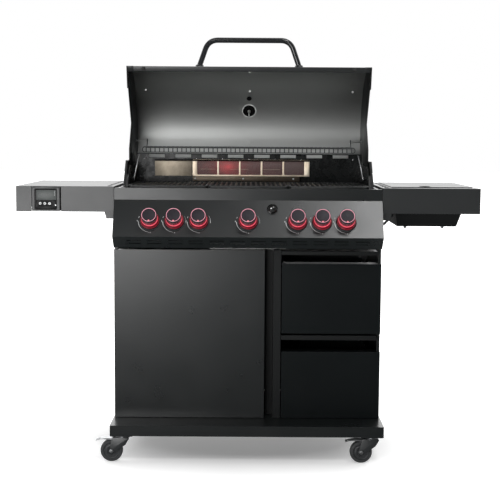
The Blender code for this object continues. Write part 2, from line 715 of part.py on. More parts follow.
# ---------------------------------------------------------------- warming rack
def warming_rack():
    front = LEG_FOOT[0] + LEG_VECTOR[0] - 0.010
    back = front + RACK_DEPTH
    z = RACK_Z
    bars = 12
    bar = RACK_WIRE
    pitch = (2 * RACK_HALF - bar) / bars
    slots = [(-RACK_HALF + bar + i * pitch, -RACK_HALF + (i + 1) * pitch, front + 0.005, back - 0.005)
             for i in range(bars)]
    ob = grid_plate("warming_rack", CHROME, (-RACK_HALF, RACK_HALF), (front, back), (z - bar / 2, z + bar / 2), slots)
    low = box("low_wire", None, (-RACK_HALF, RACK_HALF), (front + 0.0002, front + bar), (1.0305, 1.0345))
    weld(ob, low)
    posts = [box("post", None, (x - bar / 2, x + bar / 2), (front + 0.0004, front + bar - 0.0004), (1.0315, 1.0495))
             for x in [-RACK_HALF + bar / 2 + 0.0003 + i * (2 * RACK_HALF - bar - 0.0006) / 4 for i in range(5)]]
    weld(ob, merged("rack_posts", posts))
    pivot = (HINGE[0] + LEG_VECTOR[0], HINGE[1] + LEG_VECTOR[1])
    for side in (-1, 1):
        arm = [(back - 0.035, z - 0.0015), (back - 0.020, z - 0.0015), (pivot[0] + 0.004, pivot[1] - 0.007),
               (pivot[0] + 0.008, pivot[1]), (pivot[0] + 0.004, pivot[1] + 0.007),
               (pivot[0] - 0.004, pivot[1] + 0.007), (back - 0.035, z + 0.010)]
        inner = RACK_HALF - 0.0022
        outer = RACK_HALF + 0.0120
        x = sorted((side * inner, side * outer))
        plate = prism("rack_arm", None, arm, *x)
        weld(ob, plate)
        cut(ob, cylinder("pin_hole", None, (side * (inner + outer) / 2, *pivot), (1, 0, 0), 0.0036, 0.04, 12))
    set_pivot(ob, 0, *pivot)


def rack_legs():
    top = (LEG_FOOT[0] + LEG_VECTOR[0], LEG_FOOT[1] + LEG_VECTOR[1])
    for name, side in (("rack_left_leg", -1), ("rack_right_leg", 1)):
        foot_x = side * 0.4010
        top_x = side * 0.3910
        a = Vector((foot_x, *LEG_FOOT))
        b = Vector((top_x, *top))
        lean = (b - a).normalized()
        ob = tube(name, CHROME, [tuple(a + lean * 0.006), tuple(b + lean * 0.002)], 0.0022, 2)
        ring = cylinder("leg_eye", None, (foot_x, *LEG_FOOT), (1, 0, 0), 0.0070, 0.0046, 16)
        weld(ob, ring)
        cut(ob, cylinder("eye_hole", None, (foot_x, *LEG_FOOT), (1, 0, 0), 0.0035, 0.03, 12))
        set_pivot(ob, foot_x, *LEG_FOOT)


# ---------------------------------------------------------------- side tables
def table_shell(name, side, mat):
    x = sorted((side * TOTAL_WIDTH / 2, side * TABLE_INNER_X))
    ob = pan(name, mat, x, (0.0, TABLE_DEPTH), (TABLE_TOP_Z - TABLE_APRON, TABLE_TOP_Z), "-Z", 0.0012)
    low = TABLE_TOP_Z - TABLE_APRON
    inner = side * (TABLE_INNER_X + 0.0002)
    bracket = [(inner, low + 0.004), (side * 0.4825, low + 0.004), (side * 0.4805, low), (side * 0.4740, low - 0.0225),
               (inner, low - 0.0225)]
    weld(ob, side_plate("bracket", bracket, 0.0003, 0.0120))
    slots = [box("slot", None, sorted((side * 0.464, side * 0.476)), (y, y + 0.045),
                 (TABLE_TOP_Z - 0.01, TABLE_TOP_Z + 0.01)) for y in [0.035 + i * 0.070 for i in range(6)]]
    cut(ob, merged("table_slots", slots))
    return ob


DISPLAY_X = (-0.7224, -0.6256)
DISPLAY_Z = (0.8375, 0.9180)
DISPLAY_BUTTONS = [(-0.6948, 0.8628), (-0.6794, 0.8628), (-0.6634, 0.8628)]


def left_table():
    ob = table_shell("left_table", -1, GREY_STEEL)
    notch = box("display_notch", None, (DISPLAY_X[0] - 0.0008, DISPLAY_X[1] + 0.0008), (-0.01, 0.01),
                (DISPLAY_Z[0] - 0.01, DISPLAY_Z[1] + 0.0008))
    cut(ob, notch)


def display():
    ob = box("display_housing", PLASTIC, DISPLAY_X, (-0.0005, 0.0240), DISPLAY_Z)
    recess = box("display_recess", None, (-0.7128, -0.6376), (-0.01, 0.0010), (0.8424, 0.9117))
    wells = [cylinder("well", None, (x, 0.004, z), (0, 1, 0), 0.0046, 0.020, 16) for x, z in DISPLAY_BUTTONS]
    cut(ob, recess, merged("button_wells", wells))
    for i, (x, z) in enumerate(DISPLAY_BUTTONS):
        cylinder("display_button_%d" % (i + 1), BUTTON_GREY, (x, 0.0035, z), (0, 1, 0), 0.0042, 0.0080, 16)


BURNER_OPENING_X = (0.4700, 0.7570)
BURNER_OPENING_Y = (0.0450, 0.4350)


def right_table():
    ob = table_shell("right_table", 1, BLACK_STEEL)
    x0, x1 = BURNER_OPENING_X
    return cut(ob, box("burner_opening", None, (x0 + 0.012, x1), BURNER_OPENING_Y,
                       (TABLE_TOP_Z - 0.03, TABLE_TOP_Z + 0.03)))


def side_burner():
    bm = bmesh.new()
    rings = []
    for (x0, x1), (y0, y1), z in (((0.4860, 0.7530), (0.050, 0.430), 0.9040),
                                  ((0.4920, 0.7470), (0.056, 0.424), 0.9040),
                                  ((0.5120, 0.7136), (0.100, 0.380), 0.7870)):
        rings.append([bm.verts.new((x, FRONT + y, z)) for x, y in ((x0, y0), (x1, y0), (x1, y1), (x0, y1))])
    for low, high in zip(rings[1:], rings):
        for k in range(4):
            n = (k + 1) % 4
            bm.faces.new((high[k], high[n], low[n], low[k]))
    bm.faces.new(rings[-1])
    bmesh.ops.recalc_face_normals(bm, faces=bm.faces)
    ob = from_bmesh("side_burner_bowl", bm, ENAMEL)
    solidify(ob, 0.0015, 0.0)
    center = (0.6130, 0.240)
    weld(ob, cylinder("burner_stem", None, (*center, 0.815), (0, 0, 1), 0.016, 0.058, 16))
    weld(ob, cylinder("burner_head", None, (*center, 0.853), (0, 0, 1), 0.038, 0.022, 24))
    for x in (0.5455, 0.6744):
        weld(ob, cylinder("screw_foot", None, (x, 0.150, 0.782), (0, 0, 1), 0.004, 0.011, 10))
    grate = grid_plate("side_burner_grate", CAST_IRON, (0.5050, 0.7210), (0.132, 0.348), (0.8860, 0.8940),
                       [(0.5130, 0.6090, 0.140, 0.236), (0.6170, 0.7130, 0.140, 0.236),
                        (0.5130, 0.6090, 0.244, 0.340), (0.6170, 0.7130, 0.244, 0.340)])
    x0, x1 = BURNER_OPENING_X
    lid = pan("side_burner_lid", BLACK_STEEL, (x0 + 0.0135, x1 - 0.0015), (0.0465, 0.4335), (0.9115, 0.9235), "-Z", 0.0012)
    set_pivot(lid, (x0 + x1) / 2, 0.4370, 0.9260)
    return grate


def gas_hose():
    corners = [(0.4960, 0.120, 0.8270), (0.4780, 0.120, 0.7980), (0.4560, 0.120, 0.7850), (0.4378, 0.120, 0.7845)]
    tube("gas_hose", HOSE, rounded_path(corners, 0.020, 5), 0.0040, 2)


# ---------------------------------------------------------------- casters
def caster(name, x, y, brake):
    z_plate = PLINTH_Z[0] - 0.0025 - GAP
    wheel_x = x - CASTER_TRAIL
    cheek_y = WHEEL_W / 2 + 0.003
    fork = box(name + "_fork", ZINC, (wheel_x + 0.004, x + 0.022), (y - cheek_y - 0.0025, y + cheek_y + 0.0025),
               (0.0795, 0.0835))
    weld(fork, cylinder("swivel_head", None, (x, y, (0.0815 + z_plate) / 2), (0, 0, 1), 0.022, z_plate - 0.0815, 20))
    for side in (-1, 1):
        near = y + side * cheek_y
        far = y + side * (cheek_y + 0.0025)
        outline = [(wheel_x + 0.004, 0.0834), (x + 0.0219, 0.0834), (x + 0.010, 0.060), (wheel_x + 0.008, 0.028),
                   (wheel_x - 0.008, 0.028), (wheel_x - 0.009, 0.040)]
        curve_points = [(px, pz) for px, pz in outline]
        weld(fork, side_plate("cheek", curve_points, min(near, far), max(near, far)))
    weld(fork, cylinder("axle", None, (wheel_x, y, WHEEL_R), (0, 1, 0), 0.0042, 2 * cheek_y + 0.009, 16))
    set_pivot(fork, x, y, 0.0835)
    profile = [(0.0050, WHEEL_W / 2), (WHEEL_R - 0.004, WHEEL_W / 2), (WHEEL_R, WHEEL_W / 2 - 0.004)]
    lower = [(r, -h) for r, h in reversed(profile)]
    wheel = turned(name + "_wheel", RUBBER, profile + lower + [profile[0]], 28)
    wheel.rotation_euler = (radians(90), 0, 0)
    wheel.location = (wheel_x, FRONT + y, WHEEL_R)
    if brake:
        hinge_x = wheel_x + 0.004
        lever = box(name + "_brake", ZINC, (hinge_x - 0.056, hinge_x - 0.0006), (y - 0.013, y + 0.013),
                    (0.0765, 0.0790))
        set_pivot(lever, hinge_x, y, 0.0778)


def side_plate(name, points, y0, y1):
    """Flat outline in the X-Z plane between two Y values (from the front plane)."""
    curve = bpy.data.curves.new(name, "CURVE")
    curve.dimensions = "2D"
    curve.fill_mode = "BOTH"
    curve.extrude = (y1 - y0) / 2
    add_outline(curve, points)
    ob = bpy.data.objects.new(name, curve)
    parts.objects.link(ob)
    ob.rotation_euler = (radians(90), 0, 0)
    ob.location = (0, FRONT + (y0 + y1) / 2, 0)
    return to_mesh(ob, None)


def casters():
    for row, y in (("front", CASTER_Y[0]), ("rear", CASTER_Y[1])):
        for word, side in (("left", -1), ("right", 1)):
            caster("caster_%s_%s" % (row, word), side * CASTER_X, y, row == "front")


# ---------------------------------------------------------------- build
base_plinth()
cabinet()
door()
drawer("drawer_upper", UPPER_FRONT_Z)
drawer("drawer_lower", LOWER_FRONT_Z)
control_panel()
for number, knob_x in enumerate(KNOB_X):
    knob(number + 1, knob_x)
ignition_button()
gas_manifold()
firebox()
towers()
cooking_grates()
flame_tamer()
main_burners()
rear_burner()
grease_tray()
lid_shell()
lid_sides()
lid_handle()
lid_gauge()
warming_rack()
rack_legs()
left_table()
display()
right_table()
side_burner()
gas_hose()
casters()

for ob in parts.objects:
    if ob.type == "MESH":
        ob.data.shade_smooth()
        ob.data.set_sharp_from_angle(angle=radians(35))
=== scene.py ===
"""Looks of the gas barbecue: materials, fine pieces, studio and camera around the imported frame.

Places are metres in the frame's axes: X right, Y back, Z up. Profiles of turned pieces are millimetres.
"""

from math import cos, pi, radians, sin

import bpy
import bmesh
from mathutils import Matrix, Vector


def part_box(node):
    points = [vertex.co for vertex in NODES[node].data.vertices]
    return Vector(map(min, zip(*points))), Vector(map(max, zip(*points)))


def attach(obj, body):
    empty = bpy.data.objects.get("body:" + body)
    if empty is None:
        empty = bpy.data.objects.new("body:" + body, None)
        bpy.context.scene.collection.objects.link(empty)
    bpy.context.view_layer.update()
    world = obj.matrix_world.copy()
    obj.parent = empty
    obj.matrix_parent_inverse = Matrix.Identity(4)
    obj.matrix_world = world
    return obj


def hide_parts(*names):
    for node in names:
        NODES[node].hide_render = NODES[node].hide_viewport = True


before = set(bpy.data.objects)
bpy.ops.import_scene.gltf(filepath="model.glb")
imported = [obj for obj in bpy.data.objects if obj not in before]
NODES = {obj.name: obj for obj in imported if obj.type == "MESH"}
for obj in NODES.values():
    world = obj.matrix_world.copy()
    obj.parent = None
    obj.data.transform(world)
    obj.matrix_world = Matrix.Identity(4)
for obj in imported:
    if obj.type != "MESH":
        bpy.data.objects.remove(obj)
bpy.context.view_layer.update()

MM = 0.001                                   # one millimetre
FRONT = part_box("left_table")[0].y            # front plane of the side tables
HINGE = Vector((0, FRONT + 0.395, 0.992))    # lid hinge
LID_OPEN = radians(72.2)
LID_HALF = 0.4246                            # half of the lid sheet's width
RIM = Vector((-0.3795, -0.0712))             # front rim of the closed lid: depth and height from the hinge
SKIN = 0.0015                                # lid sheet's thickness
GAUGE_ALONG = 0.375                          # gauge's place, measured along the lid from its rim
KNOB_X = [-0.3248, -0.2443, -0.1634, 0, 0.1634, 0.2443, 0.3248]
KNOB_Z = 0.8085
PANEL_TOP = Vector((0, FRONT, 0.8775))
PANEL_LOW = Vector((0, FRONT - 0.0634, 0.759))
PANEL_OUT = Vector((0, -(PANEL_TOP.z - PANEL_LOW.z), PANEL_TOP.y - PANEL_LOW.y)).normalized()
RACK_FRONT = FRONT + 0.27
RACK_BACK = FRONT + 0.42
RACK_Z = 1.05
RACK_HALF = 0.3739                           # from the middle to the axis of the rack's side wires
LEG_RISE = Vector((0, 0.085, 0.08))          # from the foot of a rack leg to the rack's pivot
RACK_PIVOT = HINGE + LEG_RISE
TABLE_LOW = 0.8359
BURNER = Vector((0.613, FRONT + 0.24, 0))    # middle of the side burner
CASTER_X = 0.419
CASTER_Y = {"front": FRONT - 0.052, "rear": FRONT + 0.434}
WHEEL_SHIFT = Vector((-0.035, 0, 0.0375))    # from a caster's pivot on the ground to its wheel's middle
UP = (0, 0, 1)
DOWN = (0, 0, -1)
TO_FRONT = (0, -1, 0)
TO_BACK = (0, 1, 0)
SIDES = (("left", -1), ("right", 1))


# ---------------------------------------------------------------- node trees
class Nodes:
    """A node tree with short calls for the kinds of node used here."""

    def __init__(self, tree):
        self.tree = tree
        tree.nodes.clear()

    def add(self, kind, **settings):
        node = self.tree.nodes.new(kind)
        for key, value in settings.items():
            setattr(node, key, value)
        return node

    def feed(self, socket, value):
        if isinstance(value, bpy.types.NodeSocket):
            self.tree.links.new(value, socket)
        else:
            socket.default_value = value

    def math(self, operation, a, b=0.0):
        node = self.add("ShaderNodeMath", operation=operation)
        self.feed(node.inputs[0], a)
        self.feed(node.inputs[1], b)
        return node.outputs[0]

    def times(self, a, b):
        return self.math("MULTIPLY", a, b)

    def span(self, value, low, high, to_low=0.0, to_high=1.0):
        """Value carried over from low..high to to_low..to_high."""
        node = self.add("ShaderNodeMapRange")
        numbers = {"Value": value, "From Min": low, "From Max": high, "To Min": to_low, "To Max": to_high}
        for key, number in numbers.items():
            self.feed(node.inputs[key], number)
        return node.outputs[0]

    def axis(self, vector, name):
        node = self.add("ShaderNodeSeparateXYZ")
        self.feed(node.inputs[0], vector)
        return node.outputs[name]


class Finish(Nodes):
    """A procedural material: one principled shader fed by textures in object coordinates."""

    def __init__(self, name):
        self.material = bpy.data.materials.new(name)
        self.material.use_nodes = True
        super().__init__(self.material.node_tree)
        out = self.add("ShaderNodeOutputMaterial")
        self.shader = self.add("ShaderNodeBsdfPrincipled")
        self.feed(out.inputs[0], self.shader.outputs[0])
        self.coord = self.add("ShaderNodeTexCoord").outputs["Object"]

    def put(self, **values):
        """Feed the shader's sockets and give back the material."""
        for key, value in values.items():
            if isinstance(value, tuple):
                value = (*value, 1.0)
            self.feed(self.shader.inputs[key.replace("_", " ")], value)
        return self.material

    def scaled(self, x, y, z):
        node = self.add("ShaderNodeMapping")
        self.feed(node.inputs["Vector"], self.coord)
        node.inputs["Scale"].default_value = (x, y, z)
        return node.outputs[0]

    def noise(self, scale, detail=3.0, rough=0.5, vector=None):
        node = self.add("ShaderNodeTexNoise")
        self.feed(node.inputs["Vector"], vector or self.coord)
        node.inputs["Scale"].default_value = scale
        node.inputs["Detail"].default_value = detail
        node.inputs["Roughness"].default_value = rough
        return node.outputs["Fac"]

    def cells(self, scale):
        node = self.add("ShaderNodeTexVoronoi")
        self.feed(node.inputs["Vector"], self.coord)
        node.inputs["Scale"].default_value = scale
        return node.outputs["Distance"]

    def vary(self, value, low, high):
        """A number between low and high that follows a texture."""
        return self.span(value, 0.3, 0.7, low, high)

    def ramp(self, value, *stops):
        node = self.add("ShaderNodeValToRGB")
        points = node.color_ramp.elements
        while len(points) < len(stops):
            points.new(0.5)
        for point, (place, color) in zip(points, stops):
            point.position = place
            point.color = (*color, 1.0)
        self.feed(node.inputs[0], value)
        return node.outputs[0]

    def cloudy(self, value, color, low, high):
        """The color, times low where a texture is dark and times high where it is bright."""
        return self.ramp(value, (0.3, shade(color, low)), (0.7, shade(color, high)))

    def bump(self, height, strength, distance, normal=None):
        node = self.add("ShaderNodeBump")
        node.inputs["Strength"].default_value = strength
        node.inputs["Distance"].default_value = distance
        self.feed(node.inputs["Height"], height)
        if normal is not None:
            self.feed(node.inputs["Normal"], normal)
        return node.outputs[0]


def shade(color, factor):
    return tuple(c * factor for c in color)


def grey(value):
    return (value, value, value)


# ---------------------------------------------------------------- kinds of material
def powder_coat(name, color, roughness, peel=0.25, level=0.5):
    """Baked powder coating: orange peel, faint cloudiness, fine dust."""
    f = Finish(name)
    grain = f.noise(1500, 2)
    cloud = f.math("ADD", f.times(f.noise(5), 0.7), f.times(grain, 0.3))
    orange_peel = f.bump(f.noise(420, 2), peel, 0.0002)
    return f.put(Base_Color=f.cloudy(cloud, color, 0.92, 1.1),
                 Roughness=f.vary(f.noise(9, 4), roughness - 0.02, roughness + 0.02),
                 Specular_IOR_Level=level, Normal=f.bump(grain, 0.12, 0.0001, orange_peel))


def enamel(name, color, glint_amount):
    """Glossy porcelain enamel; with a weight above 0, pale specks in patches are painted into its colour as
    glints of reflected light.
    """
    f = Finish(name)
    base = f.cloudy(f.noise(14, 4), color, 0.7, 1.4)
    if glint_amount:
        # painted reflection: pale specks in patches stand in for glints of light on the enamel
        specks = f.span(f.cells(430), 0.1, 0.17, 1, 0)
        glint_patches = f.span(f.noise(120, 1), 0.52, 0.6)
        mix = f.add("ShaderNodeMix", data_type="RGBA")
        f.feed(mix.inputs[0], f.times(f.times(specks, glint_patches), glint_amount))
        f.feed(mix.inputs[6], base)
        mix.inputs[7].default_value = (0.55, 0.55, 0.52, 1)
        base = mix.outputs[2]
    return f.put(Base_Color=base, Roughness=f.vary(f.noise(60), 0.22, 0.34), Specular_IOR_Level=0.25,
                 Normal=f.bump(f.noise(160, 2), 0.12, 0.0003))


def cast_iron():
    """Seasoned cast iron: a pebbled skin with a dull sheen."""
    f = Finish("cast_iron")
    rough = f.bump(f.noise(700, 5, 0.65), 0.55, 0.0005)
    color = f.ramp(f.noise(40, 5, 0.6), (0.3, (0.012, 0.013, 0.013)), (0.75, (0.042, 0.045, 0.045)))
    return f.put(Base_Color=color, Roughness=f.vary(f.noise(90, 4), 0.32, 0.5), Specular_IOR_Level=0.6,
                 Normal=f.bump(f.cells(260), 0.2, 0.0004, rough))


def metal(name, color, roughness, stretch=None, bump=0.05, spots=0.0):
    """Bare metal, brushed along one axis when stretch gives the texture's scale on each axis."""
    f = Finish(name)
    if stretch:
        lines = f.noise(60, 4, 0.6, f.scaled(*stretch))
    else:
        lines = f.noise(900, 4, 0.6)
    stain = f.ramp(f.noise(24, 4, 0.6), (0.25, shade(color, 0.78 - spots)), (0.6, color),
                   (0.8, shade(color, 1.06)))
    return f.put(Base_Color=stain, Metallic=1.0, Normal=f.bump(lines, bump, 0.0002),
                 Roughness=f.span(lines, 0.25, 0.75, roughness * 0.7, roughness * 1.35))


def satin(name, color, roughness):
    """Even satin sheet: metallic coating with only a faint cloud and a very fine grain."""
    f = Finish(name)
    grain = f.noise(1400, 2)
    return f.put(Base_Color=f.cloudy(f.noise(4, 2, 0.4), color, 0.95, 1.04), Metallic=1.0,
                 Roughness=f.vary(grain, roughness - 0.02, roughness + 0.03),
                 Normal=f.bump(grain, 0.05, 0.0001))


def heat_tinted():
    """Stainless steel that has been hot: straw and bronze tints over a fine grain."""
    f = Finish("heat_tinted")
    tint = f.ramp(f.noise(9, 4, 0.55), (0.25, (0.84, 0.66, 0.48)), (0.5, (0.92, 0.8, 0.64)),
                  (0.75, (0.95, 0.87, 0.74)))
    return f.put(Base_Color=tint, Metallic=1.0, Roughness=f.vary(f.noise(300), 0.46, 0.56),
                 Normal=f.bump(f.noise(800), 0.1, 0.0002))


def plastic(name, color, roughness, bump=0.1, level=0.5):
    """Moulded plastic with a fine grain."""
    f = Finish(name)
    return f.put(Base_Color=f.cloudy(f.noise(70), color, 0.85, 1.15), Specular_IOR_Level=level,
                 Roughness=f.vary(f.noise(180), roughness * 0.85, roughness * 1.2),
                 Normal=f.bump(f.noise(1900, 2), bump, 0.0001))


def rubber(name, color):
    """Matt rubber with pale dust."""
    f = Finish(name)
    dust = f.noise(50, 5, 0.65)
    return f.put(Base_Color=f.ramp(dust, (0.3, color), (0.75, shade(color, 2.4))),
                 Roughness=f.vary(dust, 0.5, 0.75), Normal=f.bump(f.noise(1200), 0.3, 0.0002))


def glow(name, color, low, high):
    """A lit translucent plastic: emission that varies a little over the surface."""
    f = Finish(name)
    wave = f.noise(220, 2)
    return f.put(Base_Color=f.cloudy(wave, color, 0.06, 0.14), Roughness=0.35,
                 Emission_Color=f.ramp(wave, (0.25, shade(color, 0.8)), (0.75, color)),
                 Emission_Strength=f.vary(wave, low, high))


def knob_plastic():
    """Gloss black plastic that lets the red ring at its foot shine up through the wall."""
    f = Finish("knob_plastic")
    dot = f.add("ShaderNodeVectorMath", operation="DOT_PRODUCT")
    f.feed(dot.inputs[0], f.coord)
    dot.inputs[1].default_value = PANEL_OUT
    height = f.math("SUBTRACT", dot.outputs["Value"], PANEL_OUT.dot(PANEL_TOP))
    # painted glow: red emission, strongest near the foot and fading up the wall, stands in for the light of
    # the lit ring
    red = f.times(f.span(height, 0.046, 0.02), f.span(f.noise(90, 2), 0.2, 0.8, 0.7, 1.2))
    color = f.ramp(f.noise(80), (0.3, (0.02, 0.017, 0.02)), (0.7, (0.034, 0.028, 0.033)))
    return f.put(Base_Color=color, Roughness=f.vary(f.noise(200), 0.2, 0.3), Coat_Weight=0.5,
                 Coat_Roughness=0.1, Emission_Color=(0.75, 0.02, 0.06), Emission_Strength=f.times(red, 0.42))


def glowing_mesh():
    """Fine wire cloth in front of hot ceramic: slanted wires, one hot spot fading to dark."""
    f = Finish("glowing_mesh")
    x = f.axis(f.coord, "X")
    z = f.axis(f.coord, "Z")
    slant = f.math("PINGPONG", f.math("ADD", x, z), 0.0021)
    cross = f.math("PINGPONG", f.math("SUBTRACT", x, z), 0.0021)
    gap = f.times(f.span(slant, 0.0004, 0.0012), f.span(cross, 0.0002, 0.0007, 0.35, 1))
    away_x = f.times(f.math("ADD", x, 0.076), 0.62)
    away_z = f.math("SUBTRACT", z, 0.978)
    away = f.math("SQRT", f.math("ADD", f.times(away_x, away_x), f.times(away_z, away_z)))
    uneven = f.times(away, f.vary(f.noise(60, 2), 0.75, 1.25))
    heat = f.ramp(f.span(uneven, 0, 0.16), (0, grey(1)), (0.07, grey(0.55)), (0.17, grey(0.22)),
                  (0.34, grey(0.085)), (1, grey(0.035)))
    power = f.times(heat, f.span(gap, 0, 1, 0.35, 1))
    return f.put(Base_Color=f.ramp(gap, (0.1, (0.21, 0.19, 0.185)), (0.7, (0.04, 0.028, 0.026))),
                 Roughness=0.6, Metallic=f.span(gap, 0, 1, 0.5, 0), Specular_IOR_Level=0.3,
                 Emission_Color=f.ramp(power, (0, (1, 0.1, 0.11)), (0.8, (1, 0.045, 0.06))),
                 Emission_Strength=f.times(power, 0.55), Normal=f.bump(gap, 0.4, 0.0004))


def screen_glass():
    f = Finish("screen_glass")
    color = f.ramp(f.noise(30, 2), (0.3, (0.056, 0.062, 0.06)), (0.7, (0.07, 0.076, 0.074)))
    return f.put(Base_Color=color, Roughness=f.vary(f.noise(400, 2), 0.3, 0.4), Specular_IOR_Level=0.3)


# ---------------------------------------------------------------- finishes
COAT = powder_coat("black_coat", (0.008, 0.0095, 0.0098), 0.29)
# painted light: a lighter copy of the black coat for the left table, standing in for the reflection that
# greys its faces
LIT_TABLE_COAT = powder_coat("table_coat_painted_light", (0.0245, 0.0255, 0.026), 0.36)
# painted light: a lighter copy of the black coat for the right table, standing in for the light its faces
# catch
RIGHT_TABLE_LIT_COAT = powder_coat("right_table_painted_light", (0.017, 0.0185, 0.019), 0.33)
LID_COAT = powder_coat("lid_coat", (0.013, 0.0145, 0.015), 0.3, 0.15)
# painted shade: a darker, duller copy of the black coat for parts that sit in shade: the cabinet's inner
# rails and shelf, the burner bowl and the lid's cheeks
SHADE = powder_coat("shaded_coat", (0.005, 0.0058, 0.006), 0.42, 0.2, 0.22)
# painted shade: a darker copy of the black coat with weaker reflection, for the drawer fronts that catch
# less light than the door
SHADED_DRAWER_COAT = powder_coat("drawer_painted_shade", (0.0042, 0.0056, 0.006), 0.3, 0.25, 0.16)
# painted shade: a slightly darker copy of the black coat with weaker reflection, dimming the sheen on the
# side burner's lid
DIMMED_BURNER_LID_COAT = powder_coat("burner_lid_painted_shade", (0.007, 0.008, 0.0084), 0.35, 0.2, 0.36)
FORK = powder_coat("fork_coat", (0.018, 0.02, 0.021), 0.34)
ENAMEL = enamel("black_enamel_finish", (0.006, 0.007, 0.007), 0)
# painted reflection: the firebox tub's enamel, with pale glints painted into its colour
GLINTED_ENAMEL = enamel("enamel_painted_glints", (0.005, 0.006, 0.006), 0.35)
IRON = cast_iron()
LINER = satin("lid_liner", (0.52, 0.53, 0.52), 0.47)
DULL = metal("dull_wire", (0.1, 0.105, 0.105), 0.38)
STEEL = metal("brushed_steel", (0.6, 0.6, 0.585), 0.3, (1, 30, 30))
CHROME = metal("chrome_wire", (0.78, 0.79, 0.8), 0.14)
ZINC = metal("zinc", (0.5, 0.51, 0.52), 0.34, None, 0.12, 0.1)
BOLT = metal("bolt_head", (0.82, 0.83, 0.84), 0.22)
STRAW = metal("straw_tint", (0.44, 0.38, 0.3), 0.5, None, 0.3, 0.15)
BRONZE = metal("bronze_tint", (0.16, 0.13, 0.1), 0.42, None, 0.1, 0.2)
TINTED = heat_tinted()
GLOWING = glowing_mesh()
SCREWHEAD = plastic("pale_screw", (0.66, 0.67, 0.66), 0.4)
HANDLE = plastic("handle_gloss", (0.012, 0.013, 0.014), 0.16, 0.03)
KNOB = knob_plastic()
KNOB_FACE = plastic("knob_face", (0.017, 0.014, 0.019), 0.45, 0.2, 0.25)
BEZEL = plastic("bezel_gloss", (0.016, 0.017, 0.018), 0.22, 0.03)
HUB = plastic("hub_plastic", (0.03, 0.032, 0.034), 0.42, 0.25)
GLOSS = plastic("button_gloss", grey(0.005), 0.09, 0.01, 0.9)
CASE = plastic("case_black", (0.003, 0.003, 0.0035), 0.34, 0.1, 0.15)
PITCH = plastic("matt_black", grey(0.003), 0.8, 0.2, 0.1)
PALE = plastic("pale_plastic", (0.62, 0.63, 0.63), 0.4)
PRINT = plastic("print_grey", (0.42, 0.43, 0.43), 0.5)
NEEDLE = plastic("needle_red", (0.5, 0.015, 0.02), 0.4)
SEGMENT = plastic("screen_segment", (0.018, 0.02, 0.02), 0.3)
SCREEN = screen_glass()
RING = glow("ring_light", (0.84, 0.36, 0.44), 0.95, 1.2)
BAND = glow("band_light", (1, 0.12, 0.17), 0.75, 1.2)
DOT = glow("dot_light", (1, 0.25, 0.3), 0.85, 1.1)
SKIRT = glow("skirt_light", (0.62, 0.012, 0.045), 0.15, 0.24)
TYRE = rubber("tyre_rubber", (0.016, 0.017, 0.018))
BUMPER = rubber("bumper_rubber", grey(0.01))
HOSE = rubber("hose_rubber_finish", (0.014, 0.014, 0.015))

CARRIED = {
    "base_plinth": COAT, "cabinet_back": COAT, "cabinet_divider": SHADE, "cabinet_left_side": COAT,
    "cabinet_right_side": COAT, "cabinet_mid_shelf": SHADE, "cabinet_top_rail": SHADE, "control_panel": COAT,
    "door": COAT, "drawer_lower": SHADED_DRAWER_COAT, "drawer_upper": SHADED_DRAWER_COAT, "firebox_left_end": COAT,
    "firebox_right_end": COAT, "firebox_tub": GLINTED_ENAMEL, "flame_tamer": STEEL, "gas_manifold": STEEL,
    "grease_tray": STEEL, "left_table": LIT_TABLE_COAT, "right_table": RIGHT_TABLE_LIT_COAT, "main_burners": STEEL,
    "side_burner_bowl": SHADE, "side_burner_lid": DIMMED_BURNER_LID_COAT,
}


def carried_nodes():
    """Finish and small edge rounding of the CAD nodes that no finer piece replaces."""
    for node, finish in CARRIED.items():
        ob = NODES[node]
        for entry in ob.material_slots:
            entry.material = finish
        joined = ob.modifiers.new("joined", "WELD")
        joined.merge_threshold = 0.00002
        flat = ob.modifiers.new("flat", "DECIMATE")
        flat.decimate_type = "DISSOLVE"
        flat.angle_limit = radians(0.6)
        folds = ob.modifiers.new("folds", "BEVEL")
        folds.width = 0.0007
        folds.segments = 2
        folds.limit_method = "ANGLE"
        folds.angle_limit = radians(32)
        folds.harden_normals = True


# ---------------------------------------------------------------- shapes
def in_scene(name, data):
    """A new object of the scene that shows the data."""
    ob = bpy.data.objects.new(name, data)
    bpy.context.scene.collection.objects.link(ob)
    return ob


